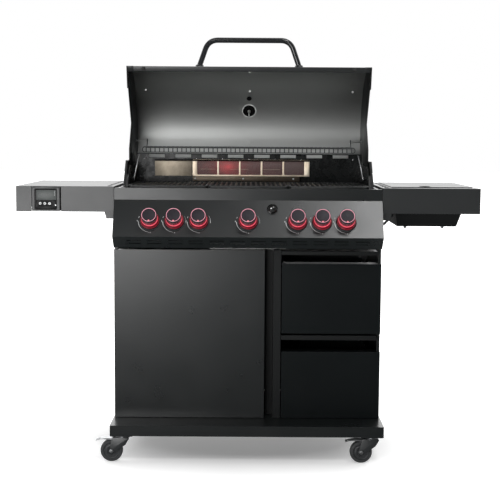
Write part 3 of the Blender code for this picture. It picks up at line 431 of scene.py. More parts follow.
class Shape:
    """Collects vertices and faces of one piece before it becomes a mesh."""

    def __init__(self):
        self.points = []
        self.faces = []
        self.slots = []

    def add(self, points, faces, place=None, slot=0):
        base = len(self.points)
        self.points += [tuple(place @ Vector(p)) if place else tuple(p) for p in points]
        self.faces += [tuple(base + i for i in face) for face in faces]
        self.slots += [slot] * len(faces)

    def lathe(self, profile, place, sides=40, slot=0):
        """Profile of (radius, height), in millimetres, turned about local Z."""
        points = []
        rings = []
        for radius, height in profile:
            r = radius * MM
            h = height * MM
            if radius == 0:
                rings.append([len(points)] * sides)
                points.append((0.0, 0.0, h))
                continue
            rings.append([len(points) + k for k in range(sides)])
            points += [(x, y, h) for x, y in circle(0, 0, r, sides)]
        faces = []
        for low, high in zip(rings, rings[1:]):
            for k in range(sides):
                n = (k + 1) % sides
                quad = [low[k], low[n], high[n], high[k]]
                face = [v for i, v in enumerate(quad) if v not in quad[:i]]
                if len(face) > 2:
                    faces.append(face[::-1])
        self.add(points, faces, place, slot)

    def tube(self, path, radius, sides=12, slot=0):
        """Round bar along a line of points."""
        path = [Vector(p) for p in path]
        points = []
        last = None
        for i, p in enumerate(path):
            along = (path[min(i + 1, len(path) - 1)] - path[max(i - 1, 0)]).normalized()
            if last is None:
                helper = Vector(UP) if abs(along.z) < 0.9 else Vector(TO_BACK)
                u = along.cross(helper).normalized()
            else:
                u = (last - along * last.dot(along)).normalized()
            last = u
            w = along.cross(u)
            points += [p + u * x + w * y for x, y in circle(0, 0, radius, sides)]
        faces = []
        for i in range(0, (len(path) - 1) * sides, sides):
            for k in range(sides):
                n = (k + 1) % sides
                faces.append((i + k, i + n, i + sides + n, i + sides + k))
        faces.append(tuple(range(sides))[::-1])
        faces.append(tuple((len(path) - 1) * sides + k for k in range(sides)))
        self.add(points, faces, None, slot)

    def block(self, low, high, edge=0.0006, place=None, slot=0, segments=2):
        """Box with rounded edges."""
        low = Vector(low)
        high = Vector(high)
        bm = bmesh.new()
        bmesh.ops.create_cube(bm, size=1.0)
        for v in bm.verts:
            v.co = [(v.co[i] + 0.5) * (high[i] - low[i]) + low[i] for i in range(3)]
        edge = min(edge, 0.45 * min(high - low))
        bmesh.ops.bevel(bm, geom=bm.edges[:], offset=edge, segments=segments, profile=0.5, affect="EDGES")
        bm.verts.index_update()
        self.add([v.co[:] for v in bm.verts], [[v.index for v in f.verts] for f in bm.faces], place, slot)
        bm.free()

    def plate(self, outlines, thickness, place, slot=0, edge=0.0):
        """Flat plate in the local XY plane, from z = 0 up: first outline outer, the others holes."""
        curve = bpy.data.curves.new("outline", "CURVE")
        curve.dimensions = "2D"
        curve.fill_mode = "BOTH"
        curve.extrude = thickness / 2 - edge
        curve.bevel_depth = edge
        curve.bevel_resolution = 1
        curve.offset = -edge
        for outline in outlines:
            spline = curve.splines.new("POLY")
            spline.points.add(len(outline) - 1)
            for point, (x, y) in zip(spline.points, outline):
                point.co = (x, y, 0, 1)
            spline.use_cyclic_u = True
        holder = bpy.data.objects.new("outline", curve)
        mesh = bpy.data.meshes.new_from_object(holder)
        points = [(v.co.x, v.co.y, v.co.z + thickness / 2) for v in mesh.vertices]
        faces = [tuple(p.vertices) for p in mesh.polygons]
        bpy.data.objects.remove(holder)
        bpy.data.curves.remove(curve)
        bpy.data.meshes.remove(mesh)
        self.add(points, faces, place, slot)

    def bar(self, section, start, end, place=None):
        """Section of local (x, z) points swept straight from y = start to y = end."""
        n = len(section)
        points = [(x, y, z) for y in (start, end) for x, z in section]
        faces = [(k, (k + 1) % n, n + (k + 1) % n, n + k) for k in range(n)]
        faces += [tuple(range(n))[::-1], tuple(range(n, 2 * n))]
        self.add(points, faces, place)

    def piece(self, name, body, mats, angle=38.0, weld=True):
        """The finished mesh, riding on its body, with edges sharper than angle kept sharp."""
        mesh = bpy.data.meshes.new(name)
        mesh.from_pydata(self.points, [], self.faces)
        for mat in mats if isinstance(mats, list) else [mats]:
            mesh.materials.append(mat)
        mesh.polygons.foreach_set("material_index", self.slots)
        bm = bmesh.new()
        bm.from_mesh(mesh)
        if weld:
            bmesh.ops.remove_doubles(bm, verts=bm.verts, dist=1e-6)
        bmesh.ops.recalc_face_normals(bm, faces=bm.faces)
        bm.to_mesh(mesh)
        bm.free()
        mesh.shade_smooth()
        mesh.set_sharp_from_angle(angle=radians(angle))
        ob = in_scene(name, mesh)
        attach(ob, body)
        return ob


def both_signs(values):
    """The values mirrored to the left, a middle 0, and the values themselves."""
    return [-v for v in values] + [0] + values[::-1]


def rounded(corners, radius, steps=6):
    """Line through the corners with each inner corner rounded."""
    corners = [Vector(c) for c in corners]
    line = [corners[0]]
    for before, corner, after in zip(corners, corners[1:], corners[2:]):
        a = corner + (before - corner).normalized() * radius
        b = corner + (after - corner).normalized() * radius
        for i in range(steps + 1):
            t = i / steps
            line.append(a * (1 - t) ** 2 + corner * 2 * t * (1 - t) + b * t * t)
    line.append(corners[-1])
    return line


def round_rect(x0, x1, y0, y1, r):
    """Outline of a rectangle with round corners."""
    steps = 5
    centers = ((x1 - r, y1 - r), (x0 + r, y1 - r), (x0 + r, y0 + r), (x1 - r, y0 + r))
    points = []
    for corner, (cx, cy) in enumerate(centers):
        for i in range(steps + 1):
            a = radians(90 * corner + 90 * i / steps)
            points.append((cx + r * cos(a), cy + r * sin(a)))
    return points


def circle(x, y, r, steps=28):
    return [(x + r * cos(2 * pi * i / steps), y + r * sin(2 * pi * i / steps)) for i in range(steps)]


def aim(point, direction, up=UP):
    """Matrix whose local Z points along direction from point, with local Y close to up."""
    z = Vector(direction).normalized()
    x = Vector(up).cross(z)
    if x.length < 1e-6:
        x = Vector((1, 0, 0))
    x.normalize()
    y = z.cross(x)
    m = Matrix((x, y, z)).transposed().to_4x4()
    m.translation = Vector(point)
    return m


def upright(y, facing, x=0.0):
    """Matrix that stands a flat outline up at depth y; its thickness grows backwards where facing is 1."""
    return Matrix(((1, 0, 0, x), (0, 0, facing, y), (0, 1, 0, 0), (0, 0, 0, 1)))


def turned(place, degrees):
    return place @ Matrix.Rotation(radians(degrees), 4, "Z")


def screw(shape, point, direction, radius, slot=0):
    """Low domed screw or rivet head; its radius is in millimetres."""
    dome = [(0, 0.55), (0.45, 0.5), (0.8, 0.34), (1, 0.06), (1, -0.05), (0, -0.05)]
    shape.lathe([(r * radius, h * radius) for r, h in dome], aim(point, direction), 14, slot)


def panel_y(z):
    """Depth of the sloped control panel's face at height z."""
    share = (PANEL_TOP.z - z) / (PANEL_TOP.z - PANEL_LOW.z)
    return PANEL_TOP.y + (PANEL_LOW.y - PANEL_TOP.y) * share


def on_panel(x, z):
    """Matrix on the sloped control panel: local X right, local Y up the slope, local Z out."""
    return aim(Vector((x, panel_y(z), z)), PANEL_OUT)


LID = Matrix.Translation(HINGE) @ Matrix.Rotation(-LID_OPEN, 4, "X")


def lid_section(steps=56):
    """The closed lid's outer section, depth and height from the hinge, without the rim flange."""
    lean = radians(73)
    rise = Vector((cos(lean), sin(lean)))
    bend = RIM + rise * 0.09
    end = Vector((0.052, 0.07))
    handles = (bend + rise * 0.235, end + Vector((-0.004, 0.165)))
    points = [RIM, RIM + rise * 0.045]
    for i in range(steps + 1):
        t = i / steps
        s = 1 - t
        points.append(bend * s ** 3 + handles[0] * 3 * s * s * t + handles[1] * 3 * s * t * t + end * t ** 3)
    return points + [Vector((0.0545, 0.045)), Vector((0.056, 0.02))]


def moved_aside(line, distance):
    """A flat line moved to the right of its own direction."""
    moved = []
    for i, p in enumerate(line):
        along = (line[min(i + 1, len(line) - 1)] - line[max(i - 1, 0)]).normalized()
        moved.append(p + Vector((along.y, -along.x)) * distance)
    return moved


def on_lid(along, x, height=0.0):
    """Matrix on the lid's outer skin, a distance along from the rim: local Z out of the sheet."""
    points = lid_section(12)
    left = along
    for a, b in zip(points, points[1:]):
        step = (b - a).length
        if left <= step:
            d = (b - a).normalized()
            out = Vector((0, -d.y, d.x))
            p = a + d * left
            return LID @ aim(Vector((x, p.x, p.y)) + out * height, out, (0, d.x, d.y))
        left -= step
    raise ValueError("beyond the lid")


# ---------------------------------------------------------------- lid
def gauge_hole(shell):
    """Cut the gauge's round hole through the lid sheet."""
    cutter = Shape()
    cutter.lathe([(0, -50), (24, -50), (24, 50), (0, 50)], on_lid(GAUGE_ALONG, 0), 48)
    tool = cutter.piece("gauge_cutter", "lid", LID_COAT)
    hole = shell.modifiers.new("hole", "BOOLEAN")
    hole.operation = "DIFFERENCE"
    hole.solver = "EXACT"
    hole.object = tool
    bpy.context.view_layer.update()
    shell_now = shell.evaluated_get(bpy.context.evaluated_depsgraph_get())
    cut = bpy.data.meshes.new_from_object(shell_now)
    shell.modifiers.clear()
    shell.data = cut
    bpy.data.objects.remove(tool)


def lid_shell():
    """Bent sheet of the lid: coated outside, bare liner inside."""
    folds = [RIM + Vector(step) for step in ((0.019, 0.004), (0.019, 0), (0.002, 0), (0.0006, 0.0006))]
    outer = folds + lid_section()[1:]
    inner = moved_aside(outer, SKIN)
    xs = [-LID_HALF, -0.03, 0.03, LID_HALF]
    points = [(x, p.x, p.y) for line in (outer, inner) for p in line for x in xs]
    last = len(outer) - 1

    def at(side, i, k):
        return (side * len(outer) + i) * len(xs) + k

    faces = []
    for side in (0, 1):
        for i in range(last):
            for k in range(3):
                quad = (at(side, i, k), at(side, i, k + 1), at(side, i + 1, k + 1), at(side, i + 1, k))
                faces.append(quad if side == 0 else quad[::-1])
    for k in range(3):
        faces.append((at(0, 0, k + 1), at(0, 0, k), at(1, 0, k), at(1, 0, k + 1)))
        faces.append((at(0, last, k), at(0, last, k + 1), at(1, last, k + 1), at(1, last, k)))
    for i in range(last):
        faces.append((at(0, i, 0), at(0, i + 1, 0), at(1, i + 1, 0), at(1, i, 0)))
        faces.append((at(0, i + 1, 3), at(0, i, 3), at(1, i, 3), at(1, i + 1, 3)))
    shape = Shape()
    shape.add(points, faces, LID)
    shell = shape.piece("lid_skin", "lid", [LID_COAT, LINER], 30)
    gauge_hole(shell)
    middle = LID @ Vector((0, -0.16, 0.05))
    inside = []
    for face in shell.data.polygons:
        toward = middle - face.center
        toward.x = 0
        inside.append(1 if face.normal.dot(toward) > 0 and abs(face.normal.x) < 0.5 else 0)
    shell.data.polygons.foreach_set("material_index", inside)
    shell.data.shade_smooth()
    shell.data.set_sharp_from_angle(angle=radians(30))
    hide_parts("lid_shell")


def lid_sides():
    """End cheeks of the lid, each with the pin that carries the rack."""
    lower = [(0.35, -0.035), (0.3267, -0.0555), (0.2886, -0.0433), (0.222, 0.0505), (0.0605, -0.0079),
             (0.003, -0.006)]
    outline = moved_aside(lid_section(40), 0.0021) + [Vector((0.03, -0.012)), Vector((0.018, -0.03))]
    outline += [RIM + Vector(step) for step in lower]
    across = Matrix(((0, 0, 1, 0), (1, 0, 0, 0), (0, 1, 0, 0), (0, 0, 0, 1)))
    pin_head = [(0, 2), (4.5, 2), (5.5, 1), (5.5, 0), (0, 0)]
    for name, side in SIDES:
        shape = Shape()
        place = LID @ Matrix.Translation((side * 0.4247 - 0.001, 0, 0)) @ across
        shape.plate([[tuple(p) for p in outline], circle(0, 0, 0.0046, 20)], 0.002, place, 0, 0.0004)
        pin = [Vector((side * x, RACK_PIVOT.y, RACK_PIVOT.z)) for x in (0.3845, 0.4237, 0.4245)]
        shape.tube([pin[0], pin[2]], 0.003, 16, 2)
        shape.lathe(pin_head, aim(pin[1], (-side, 0, 0)), 18, 1)
        ob = shape.piece("lid_%s_cheek" % name, "lid", [SHADE, ZINC, LINER])
        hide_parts("lid_%s_side" % name)


def lid_handle():
    """Bowed round bar on two turned feet."""
    half = 0.174
    bow = 0.0919
    foot_line = [(0, 6.6), (10.5, 6.6), (13.5, 5), (14.5, 2.8), (14.5, 0), (0, 0)]
    points = lid_section(12)
    d = (points[1] - points[0]).normalized()
    out = Vector((0, -d.y, d.x))
    base = points[0] + d * 0.022

    def at(x, height):
        return Vector((x, base.x, base.y)) + out * height

    shape = Shape()
    corners = [LID @ at(*c) for c in ((-half, 0.0036), (-0.143, bow), (0.143, bow), (half, 0.0036))]
    shape.tube(rounded(corners, 0.034, 12), 0.0095, 24)
    for side in (-1, 1):
        shape.lathe(foot_line, LID @ aim(at(side * half, 0.0008), out), 30)
    ob = shape.piece("handle_bar", "lid", HANDLE)
    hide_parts("lid_handle")


def lid_gauge():
    """Temperature gauge: probe, black back, bright rim, pale dial with ticks and a red needle."""
    place = on_lid(GAUGE_ALONG, 0)
    shape = Shape()
    probe = [(0, -46.2), (1.6, -45.2), (3, -42), (3, -10.5), (6.2, -10), (6.2, -6.4)]
    back = [(0, -6.6), (21.5, -5.5), (22.2, -1), (25, 0.4)]
    rim = [(25, 0.4), (34, 0.4), (34.4, 3), (34, 9), (31.8, 12), (30, 11.8), (29.6, 9.8)]
    seal = [(23.6, -1.6), (23.8, -2.8), (24.6, -3.3), (26.2, -3), (26.8, -1.6)]
    shape.lathe(probe, place, 24)
    shape.lathe(back, place, 56, 1)
    shape.lathe(rim, place, 56)
    shape.lathe([(29.6, 9.8), (0, 9.8)], place, 56, 4)
    shape.lathe(seal, place, 56, 3)
    face = place @ Matrix.Translation((0, 0, 0.0099))
    for i in range(25):
        start, half = (0.0235, 0.0004) if i % 4 else (0.0215, 0.0008)
        tick = turned(face, 225 - 270 * i / 24)
        shape.block((start, -half, 0), (0.0272, half, 0.0003), 0.0001, tick, 1, 1)
    shape.block((-0.006, -0.001, 0.0003), (0.02, 0.001, 0.0009), 0.0003, turned(face, 222), 2, 1)
    shape.lathe([(0, 1.8), (2, 1.6), (2.6, 0.4), (0, 0.4)], face, 20)
    mats = [STEEL, PITCH, NEEDLE, SCREWHEAD, PALE]
    ob = shape.piece("temperature_gauge", "lid", mats, 30)
    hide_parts("lid_gauge")


def lid_fixings():
    """Screws, rubber stops and the rolled side lips of the open lid."""
    bolts = Shape()
    for along, x in ((0.282, -0.386), (0.286, 0.002), (0.288, 0.386), (0.158, 0.002), (0.5, -0.387),
                     (0.5, 0), (0.502, 0.386), (0.022, -0.174), (0.022, 0.174)):
        bolts.lathe([(0, -3.4), (2.2, -3.2), (4, -1.8), (4.2, 0), (0, 0)], on_lid(along, x, -SKIN), 16)
    plug = [(0, -1.2), (8.6, -1.4), (9.4, -0.4), (9.4, 0.4), (0, 0.4)]
    bolts.lathe(plug, on_lid(0.322, 0, -SKIN), 28, 1)
    bolts.piece("lid_screws", "lid", [SCREWHEAD, PITCH])
    stops = Shape()
    for x in (-0.369, 0.369):
        place = LID @ aim((x, RIM.x + 0.009, RIM.y), DOWN, TO_BACK)
        stops.lathe([(0, 5.2), (4.6, 5), (6.6, 3.4), (7.2, 0), (0, 0)], place, 20)
    stops.piece("lid_stops", "lid", BUMPER)
    lips = Shape()
    front_edge = LID @ Matrix.Translation((0, *RIM)) @ Matrix.Rotation(radians(-17), 4, "X")
    for side in (-1, 1):
        a, b = sorted((side * 0.4254, side * 0.4286))
        middle = side * 0.415
        lips.block((a, RIM.x, -0.073), (b, -0.3, -0.0705), 0.0006, LID)
        lips.block((a, -0.0006, 0), (b, 0.001, 0.088), 0.0005, front_edge)
        lips.block((middle - 0.011, -0.3797, -0.0722), (middle + 0.011, -0.36, -0.07), 0.0006, LID)
    lips.piece("lid_side_lips", "lid", LID_COAT)


# ---------------------------------------------------------------- warming rack
def warming_rack():
    """Wire rack: round frame, front rail, bent cross wires, and the arms with the pivot eyes."""
    front = RACK_FRONT + 0.002
    back = RACK_BACK - 0.002
    half = RACK_HALF
    rod = 0.0021
    shape = Shape()
    corners = [(-half, front, RACK_Z), (-half, back, RACK_Z), (half, back, RACK_Z), (half, front, RACK_Z)]
    shape.tube(rounded(corners, 0.01, 5), rod, 10)
    for y, drop, radius, sides in ((front, 0, rod, 10), (front, 0.018, 0.0019, 10),
                                   (front + 0.075, 0.0028, 0.0018, 8)):
        shape.tube([(-half, y, RACK_Z - drop), (half, y, RACK_Z - drop)], radius, sides)
    wires = 47
    for i in range(wires):
        x = -half + (i + 0.5) * 2 * half / wires
        bend = [(x, front - 0.0002, RACK_Z - 0.0175), (x, front - 0.0002, RACK_Z + 0.0004),
                (x, back, RACK_Z + 0.0004)]
        shape.tube(rounded(bend, 0.004, 3), 0.0013, 6)
        shape.tube([(x, front - 0.0006, RACK_Z - 0.0172), (x, front - 0.0006, RACK_Z - 0.001)], 0.0019, 8)
    y, z = RACK_PIVOT.yz
    for side in (-1, 1):
        arm = [(0, back - 0.012, RACK_Z), (0.004, back + 0.006, RACK_Z), (0.007, y - 0.004, z - 0.012),
               (0.007, y - 0.002, z - 0.006)]
        eye = [(0.007, y + 0.0056 * cos(a), z + 0.0056 * sin(a))
               for a in [radians(-100 + 18 * k) for k in range(19)]]
        end = [(0, front, RACK_Z), (0.005, front - 0.001, RACK_Z - 0.004),
               (0.005, front - 0.001, RACK_Z - 0.014), (0, front, RACK_Z - 0.018)]
        arm, eye, end = [[(side * (half + x), y, z) for x, y, z in line] for line in (arm, eye, end)]
        shape.tube(rounded(arm, 0.008, 5), rod, 10)
        shape.tube(eye, 0.0018, 8)
        shape.tube(rounded(end, 0.004, 5), 0.0017, 8)
    ob = shape.piece("rack_wires", "rack", DULL, 50)
    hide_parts("warming_rack")


def rack_legs():
    """Straight wire legs with an eye at the foot."""
    for name, side in SIDES:
        foot = Vector((side * 0.401, FRONT + 0.195, 0.942))
        top = foot + LEG_RISE + Vector((side * -0.01, 0, 0))
        lean = (top - foot).normalized()
        shape = Shape()
        shape.tube([foot + lean * 0.0052, foot.lerp(top, 0.5), top + lean * 0.002], 0.0022)
        turns = [radians(18 * k) for k in range(21)]
        shape.tube([(foot.x, foot.y + 0.0054 * cos(a), foot.z + 0.0054 * sin(a)) for a in turns], 0.0019, 8)
        ob = shape.piece("leg_wire_%s" % name, "rack_leg_%s" % name, CHROME, 50)
        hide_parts("rack_%s_leg" % name)


# ---------------------------------------------------------------- firebox
def cooking_grates():
    """Three cast grates: a frame, fourteen crowned bars, two cross ribs and four feet each."""
    width = 0.2705
    gap = 0.0025
    rail = 0.009
    bars = 14
    half = 0.0032
    low = 0.911
    high = 0.924
    y0 = FRONT + 0.058
    y1 = FRONT + 0.38
    for i, name in enumerate(("left", "center", "right")):
        x0 = (i - 1.5) * (width + gap) + gap / 2
        x1 = x0 + width
        shape = Shape()
        for x in (x0, x1 - rail):
            shape.block((x, y0, low), (x + rail, y1, high), 0.0018)
        for y in (y0, y1 - 0.01):
            shape.block((x0, y, low), (x1, y + 0.01, high - 0.0012), 0.0018)
        for k in range(bars):
            x = x0 + rail / 2 + (k + 1) * (width - rail) / (bars + 1)
            right = [(half, low + 0.001), (half + 0.0003, high - 0.0025), (half * 0.6, high - 0.0005)]
            section = [(x - half, low + 0.001)] + [(x + a, z) for a, z in right] + [(x, high)]
            section += [(x - a, z) for a, z in right[:0:-1]]
            shape.bar(section, y0 + 0.008, y1 - 0.008)
        for y in (y0 + 0.107, y0 + 0.214):
            shape.block((x0 + 0.006, y - 0.003, low), (x1 - 0.006, y + 0.003, high - 0.005), 0.001)
        for x in (x0 + 0.022, x1 - 0.022):
            for y in (y0 + 0.005, y1 - 0.005):
                shape.block((x - 0.004, y - 0.004, low - 0.0004), (x + 0.004, y + 0.004, low + 0.002), 0.001)
        ob = shape.piece("cast_grate_%s" % name, "frame", IRON, 45)
        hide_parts("grate_%s" % name)


def rear_burner():
    """Stamped trim with five windows in front of five glowing tiles."""
    front = FRONT + 0.3835
    pitch = 0.0799
    standing = upright(front, 1)
    windows = [round_rect(-0.189 + i * pitch, -0.1155 + i * pitch, 0.949, 1.0036, 0.003) for i in range(5)]
    shape = Shape()
    shape.plate([round_rect(-0.2065, 0.2235, 0.9438, 1.0044, 0.002)] + windows, 0.0016, standing, 0, 0.0003)
    shape.block((-0.2063, front - 0.0016, 0.9438), (0.2233, front + 0.0006, 0.9486))
    shape.block((0.213, front - 0.001, 0.9438), (0.2233, front + 0.0006, 1.004))
    shape.plate([round_rect(-0.3445, -0.209, 0.944, 1.003, 0.002)], 0.0014, standing, 4, 0.0003)
    shape.block((-0.205, front - 0.0004, 0.9252), (0.187, front + 0.001, 0.9442), 0.0005, None, 2)
    shape.block((-0.344, front - 0.0034, 0.9986), (0.223, front - 0.002, 1.004), 0.0005, None, 3)
    for x in (-0.197, -0.02, 0.164):
        screw(shape, (x, front - 0.0004, 0.9345), TO_FRONT, 3.4, 1)
    for a, b in ((-0.177, -0.122), (-0.067, -0.0006), (0.047, 0.114)):
        shape.block((a, front + 0.0018, 0.9685), (b, front + 0.0024, 0.9698), 0.0002, None, 4, 1)
    mats = [TINTED, SCREWHEAD, BRONZE, PITCH, STRAW]
    ob = shape.piece("burner_trim", "frame", mats, 35)
    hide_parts("rear_burner_frame")
    tiles = Shape()
    for i in range(5):
        x = -0.193 + i * pitch
        tiles.block((x, front + 0.0026, 0.946), (x + 0.079, front + 0.015, 1.002), 0.0008)
    ob = tiles.piece("burner_tiles", "frame", GLOWING)
    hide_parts("rear_burner_tiles")


def wall_details():
    """Folded top edge of the rear wall, its screws, and the ledge strips of the side walls."""
    back = FRONT + 0.402
    shape = Shape()
    shape.block((-0.4145, back - 0.0045, 1.0246), (0.4145, back + 0.0018, 1.0268), 0.0008)
    for x in both_signs([0.385, 0.1932, 0.0966]):
        screw(shape, (x, back - 0.0001, 1.0062), TO_FRONT, 2.6, 1)
    for x in (-0.4131, 0.4131):
        shape.block((x - 0.0012, FRONT + 0.166, 0.983), (x + 0.0012, FRONT + 0.401, 0.9862), 0.0008)
    shape.piece("rear_wall_edge", "frame", [ENAMEL, BOLT])


# ---------------------------------------------------------------- control panel
def knobs():
    """Seven knobs: ribbed body, lit ring, band and dot, and a fixed bezel with a lit lip."""
    face = [(0, 52.6), (20.8, 52.7), (22.1, 52.4), (22.3, 51.2)]
    ring = [(22.2, 52), (22.5, 53.3), (23.1, 53.8), (23.7, 53.4), (24, 52)]
    wall = [(23.8, 52), (24.1, 53.2), (24.7, 52.9), (25.1, 51.5), (25.5, 44), (26.1, 33), (26.6, 27),
            (26.4, 26.2), (25.8, 26), (25.8, 25)]
    band = [(25.6, 25), (26.4, 24.8), (27, 24), (27.4, 22.8), (27.4, 21.4), (26.8, 20.8), (25.6, 20.8)]
    skirt = [(25.6, 20.6), (27.4, 20.4), (28, 18.8), (28.2, 15.8), (0, 15.8)]
    dot = [(0, 1.1), (1.8, 1), (3, 0.4), (3.1, -1), (0, -1)]
    bezel = [(18, 14), (28.8, 14), (29.1, 15.2), (29.7, 15.7), (30.3, 15.3), (30.8, 13.5), (32.1, 6),
             (33.2, 2), (34, 1), (34, 0.1)]
    lit_lip = [(29, 15.1), (29.7, 16), (30.5, 15.5), (31, 13.6), (31.6, 10)]
    base_ring = [(32.9, 3.4), (33.4, 3.6), (34.1, 1.6), (34.3, 0.2)]
    grips = 28
    for number, x in enumerate(KNOB_X, 1):
        place = on_panel(x, KNOB_Z)
        body = "knob_%d" % number
        shape = Shape()
        shape.lathe(face, place, 48, 1)
        shape.lathe(wall, place, 48, 0)
        shape.lathe(skirt, place, 48, 2)
        for k in range(grips):
            turn = turned(place, 360 * k / grips)
            shape.block((0.0246, -0.0006, 0.029), (0.0264, 0.0006, 0.048), 0.0004, turn, 0, 1)
        ob = shape.piece("knob_body_%d" % number, body, [KNOB, KNOB_FACE, SKIRT], 40)
        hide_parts("knob_%d" % number)
        lights = Shape()
        lights.lathe(ring, place, 48, 0)
        lights.lathe(band, place, 48, 1)
        lights.lathe(dot, place @ Matrix.Translation((0, -0.0207, 0.0528)), 20, 2)
        lights.piece("knob_light_%d" % number, body, [RING, BAND, DOT], 40)
        trim = Shape()
        trim.lathe(bezel, place, 56)
        trim.lathe(lit_lip, place, 56, 2)
        trim.lathe(base_ring, place, 56, 1)
        trim.piece("knob_bezel_%d" % number, "frame", [BEZEL, HUB, SKIRT], 40)


def arc_band(r, start, end, width0, width1, steps=22):
    """Outline of a printed arc, in degrees, whose width changes from its start to its end."""
    outer = []
    inner = []
    for i in range(steps + 1):
        t = i / steps
        a = radians(start + (end - start) * t)
        w = (width0 + (width1 - width0) * t) / 2
        outer.append(((r + w) * cos(a), (r + w) * sin(a)))
        inner.append(((r - w) * cos(a), (r - w) * sin(a)))
    return outer + inner[::-1]


def flame(x, y, size):
    """Plain drop shape."""
    drop = [(0, 1), (0.28, 0.55), (0.55, 0.15), (0.55, -0.25), (0.32, -0.6), (0, -0.7), (-0.32, -0.6),
            (-0.55, -0.25), (-0.5, 0.1), (-0.2, 0.45)]
    return [(x + a * size, y + b * size) for a, b in drop]


def panel_print():
    """Printed arcs and plain drops around the knobs."""
    ink = 0.00016
    shape = Shape()
    for i, x in enumerate(KNOB_X):
        marks = [[arc_band(0.0385, 182, 262, 0.0024, 0.0007)]]
        if i in (1, 2, 3):
            marks.append([arc_band(0.0385, 352, 392, 0.0018 if i == 2 else 0.001, 0.0005)])
        marks.append([flame(-0.042, 0.001, 0.0036), flame(-0.042, 0.0004, 0.0018)])
        marks.append([flame(0.0018, -0.041, 0.0024)])
        marks.append([flame(-0.004, -0.0408, 0.0016)])
        marks.append([arc_band(0.04, 154, 162, 0.0016, 0.0016, 4)])
        for outlines in marks:
            shape.plate(outlines, ink, on_panel(x, KNOB_Z))
    shape.piece("panel_markings", "frame", PRINT, weld=False)


def ignition():
    """Round push button in a turned trim ring."""
    place = on_panel(0.0803, 0.8488)
    dished = [(0, 7.2), (6, 7.4), (9.6, 8.6), (11.8, 9.2), (13.4, 8.2), (14.7, 5), (14.8, -4), (0, -4)]
    collar = [(15.2, 0.2), (15.2, 5.2), (15.8, 6.2), (16.8, 6), (18.4, 3), (19.2, 1), (19.2, 0.1)]
    cap = Shape()
    cap.lathe(dished, place, 44)
    ob = cap.piece("ignition_cap", "ignition_button", GLOSS)
    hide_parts("ignition_button")
    trim = Shape()
    trim.lathe(collar, place, 48)
    trim.piece("ignition_trim", "frame", GLOSS)


def panel_screws():
    """Two screws in each end plate of the control panel."""
    shape = Shape()
    for side in (-1, 1):
        for z in (0.77, 0.86):
            screw(shape, (side * 0.4474, panel_y(z) + 0.024, z), (side, 0, 0), 3.6)
    shape.piece("panel_screws", "frame", ZINC)


# ---------------------------------------------------------------- side tables
def display():
    """Display housing in the left table: frame, screen with three digits, and three round keys."""
    buttons = [(-0.6948, 0.8628), (-0.6794, 0.8628), (-0.6634, 0.8628)]
    left, right, low, high = -0.7078, -0.6416, 0.8745, 0.9074
    shape = Shape()
    outer = round_rect(-0.7224, -0.629, 0.8375, 0.918, 0.0015)
    window = round_rect(-0.7128, -0.6386, 0.8424, 0.9117, 0.0045)
    shape.plate([outer, window], 0.0022, upright(FRONT + 0.002, -1), 0, 0.0003)
    base = round_rect(-0.7127, -0.6387, 0.8425, 0.9116, 0.0045)
    wells = [circle(x, z, 0.0047, 24) for x, z in buttons]
    base_outlines = [base, round_rect(left, right, low, high, 0.0015)] + wells
    shape.plate(base_outlines, 0.002, upright(FRONT + 0.0038, -1), 1, 0.0002)
    shape.block((left, FRONT + 0.0022, low), (right, FRONT + 0.0042, high), 0.0003, None, 2)
    shape.block((-0.722, FRONT + 0.009, 0.838), (-0.6262, FRONT + 0.0235, 0.9175), 0.0006, None, 3)
    shape.lathe([(0, 1.6), (2, 1.6), (2.6, 1), (2.6, -1), (0, -1)],
                aim((-0.6432, FRONT + 0.0014, 0.8572), TO_FRONT), 18, 4)
    for width, z in ((0.003, 0.903), (0.0022, 0.8985), (0.0034, 0.894), (0.002, 0.8895)):
        x = -0.6475
        shape.block((x, FRONT + 0.0019, z), (x + width, FRONT + 0.0024, z + 0.0012), 0.0001, None, 4)
    upright_size = (0.0008, 0.0084)
    level_size = (0.0052, 0.0008)
    for digit in range(3):
        for dx, z, (width, height) in ((0, 0.889, upright_size), (0.0062, 0.889, upright_size),
                                       (0.0006, 0.8886, level_size), (0.0006, 0.897, level_size)):
            x = -0.701 + digit * 0.015 + dx
            shape.block((x, FRONT + 0.002, z), (x + width, FRONT + 0.0023, z + height), 0.0001, None, 5, 1)
    mats = [LIT_TABLE_COAT, CASE, SCREEN, CASE, PALE, SEGMENT]
    ob = shape.piece("display_unit", "frame", mats, 35)
    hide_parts("display_housing")
    cap = [(1.6, 0.3), (3, 0.42), (4, 0.1), (4.3, -0.6), (4.3, -7.2), (0, -7.2)]
    for number, (x, z) in enumerate(buttons, 1):
        body = "display_button_%d" % number
        button = Shape()
        place = aim((x, FRONT, z), TO_FRONT)
        button.lathe(cap, place, 28, 0)
        button.lathe([(0, 0.05), (1.6, 0.3)], place, 28, 1)
        ob = button.piece("display_key_%d" % number, body, [PALE, CASE])
        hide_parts("display_button_%d" % number)


def table_details():
    """Screws of both side tables, and stiffening strips under the left one."""
    for (name, side), finish in zip(SIDES, (LIT_TABLE_COAT, COAT)):
        shape = Shape()
        for y in (0.13, 0.26, 0.39):
            screw(shape, (side * 0.4496, FRONT + y, TABLE_LOW + 0.012), (-side, 0, 0), 4, 1)
        if name == "left":
            for y in (0.1, 0.24, 0.38):
                shape.block((-0.77, FRONT + y - 0.012, TABLE_LOW + 0.001),
                            (-0.452, FRONT + y + 0.012, TABLE_LOW + 0.003), 0.0008)
        shape.piece("table_fixings_%s" % name, "frame", [finish, ZINC])


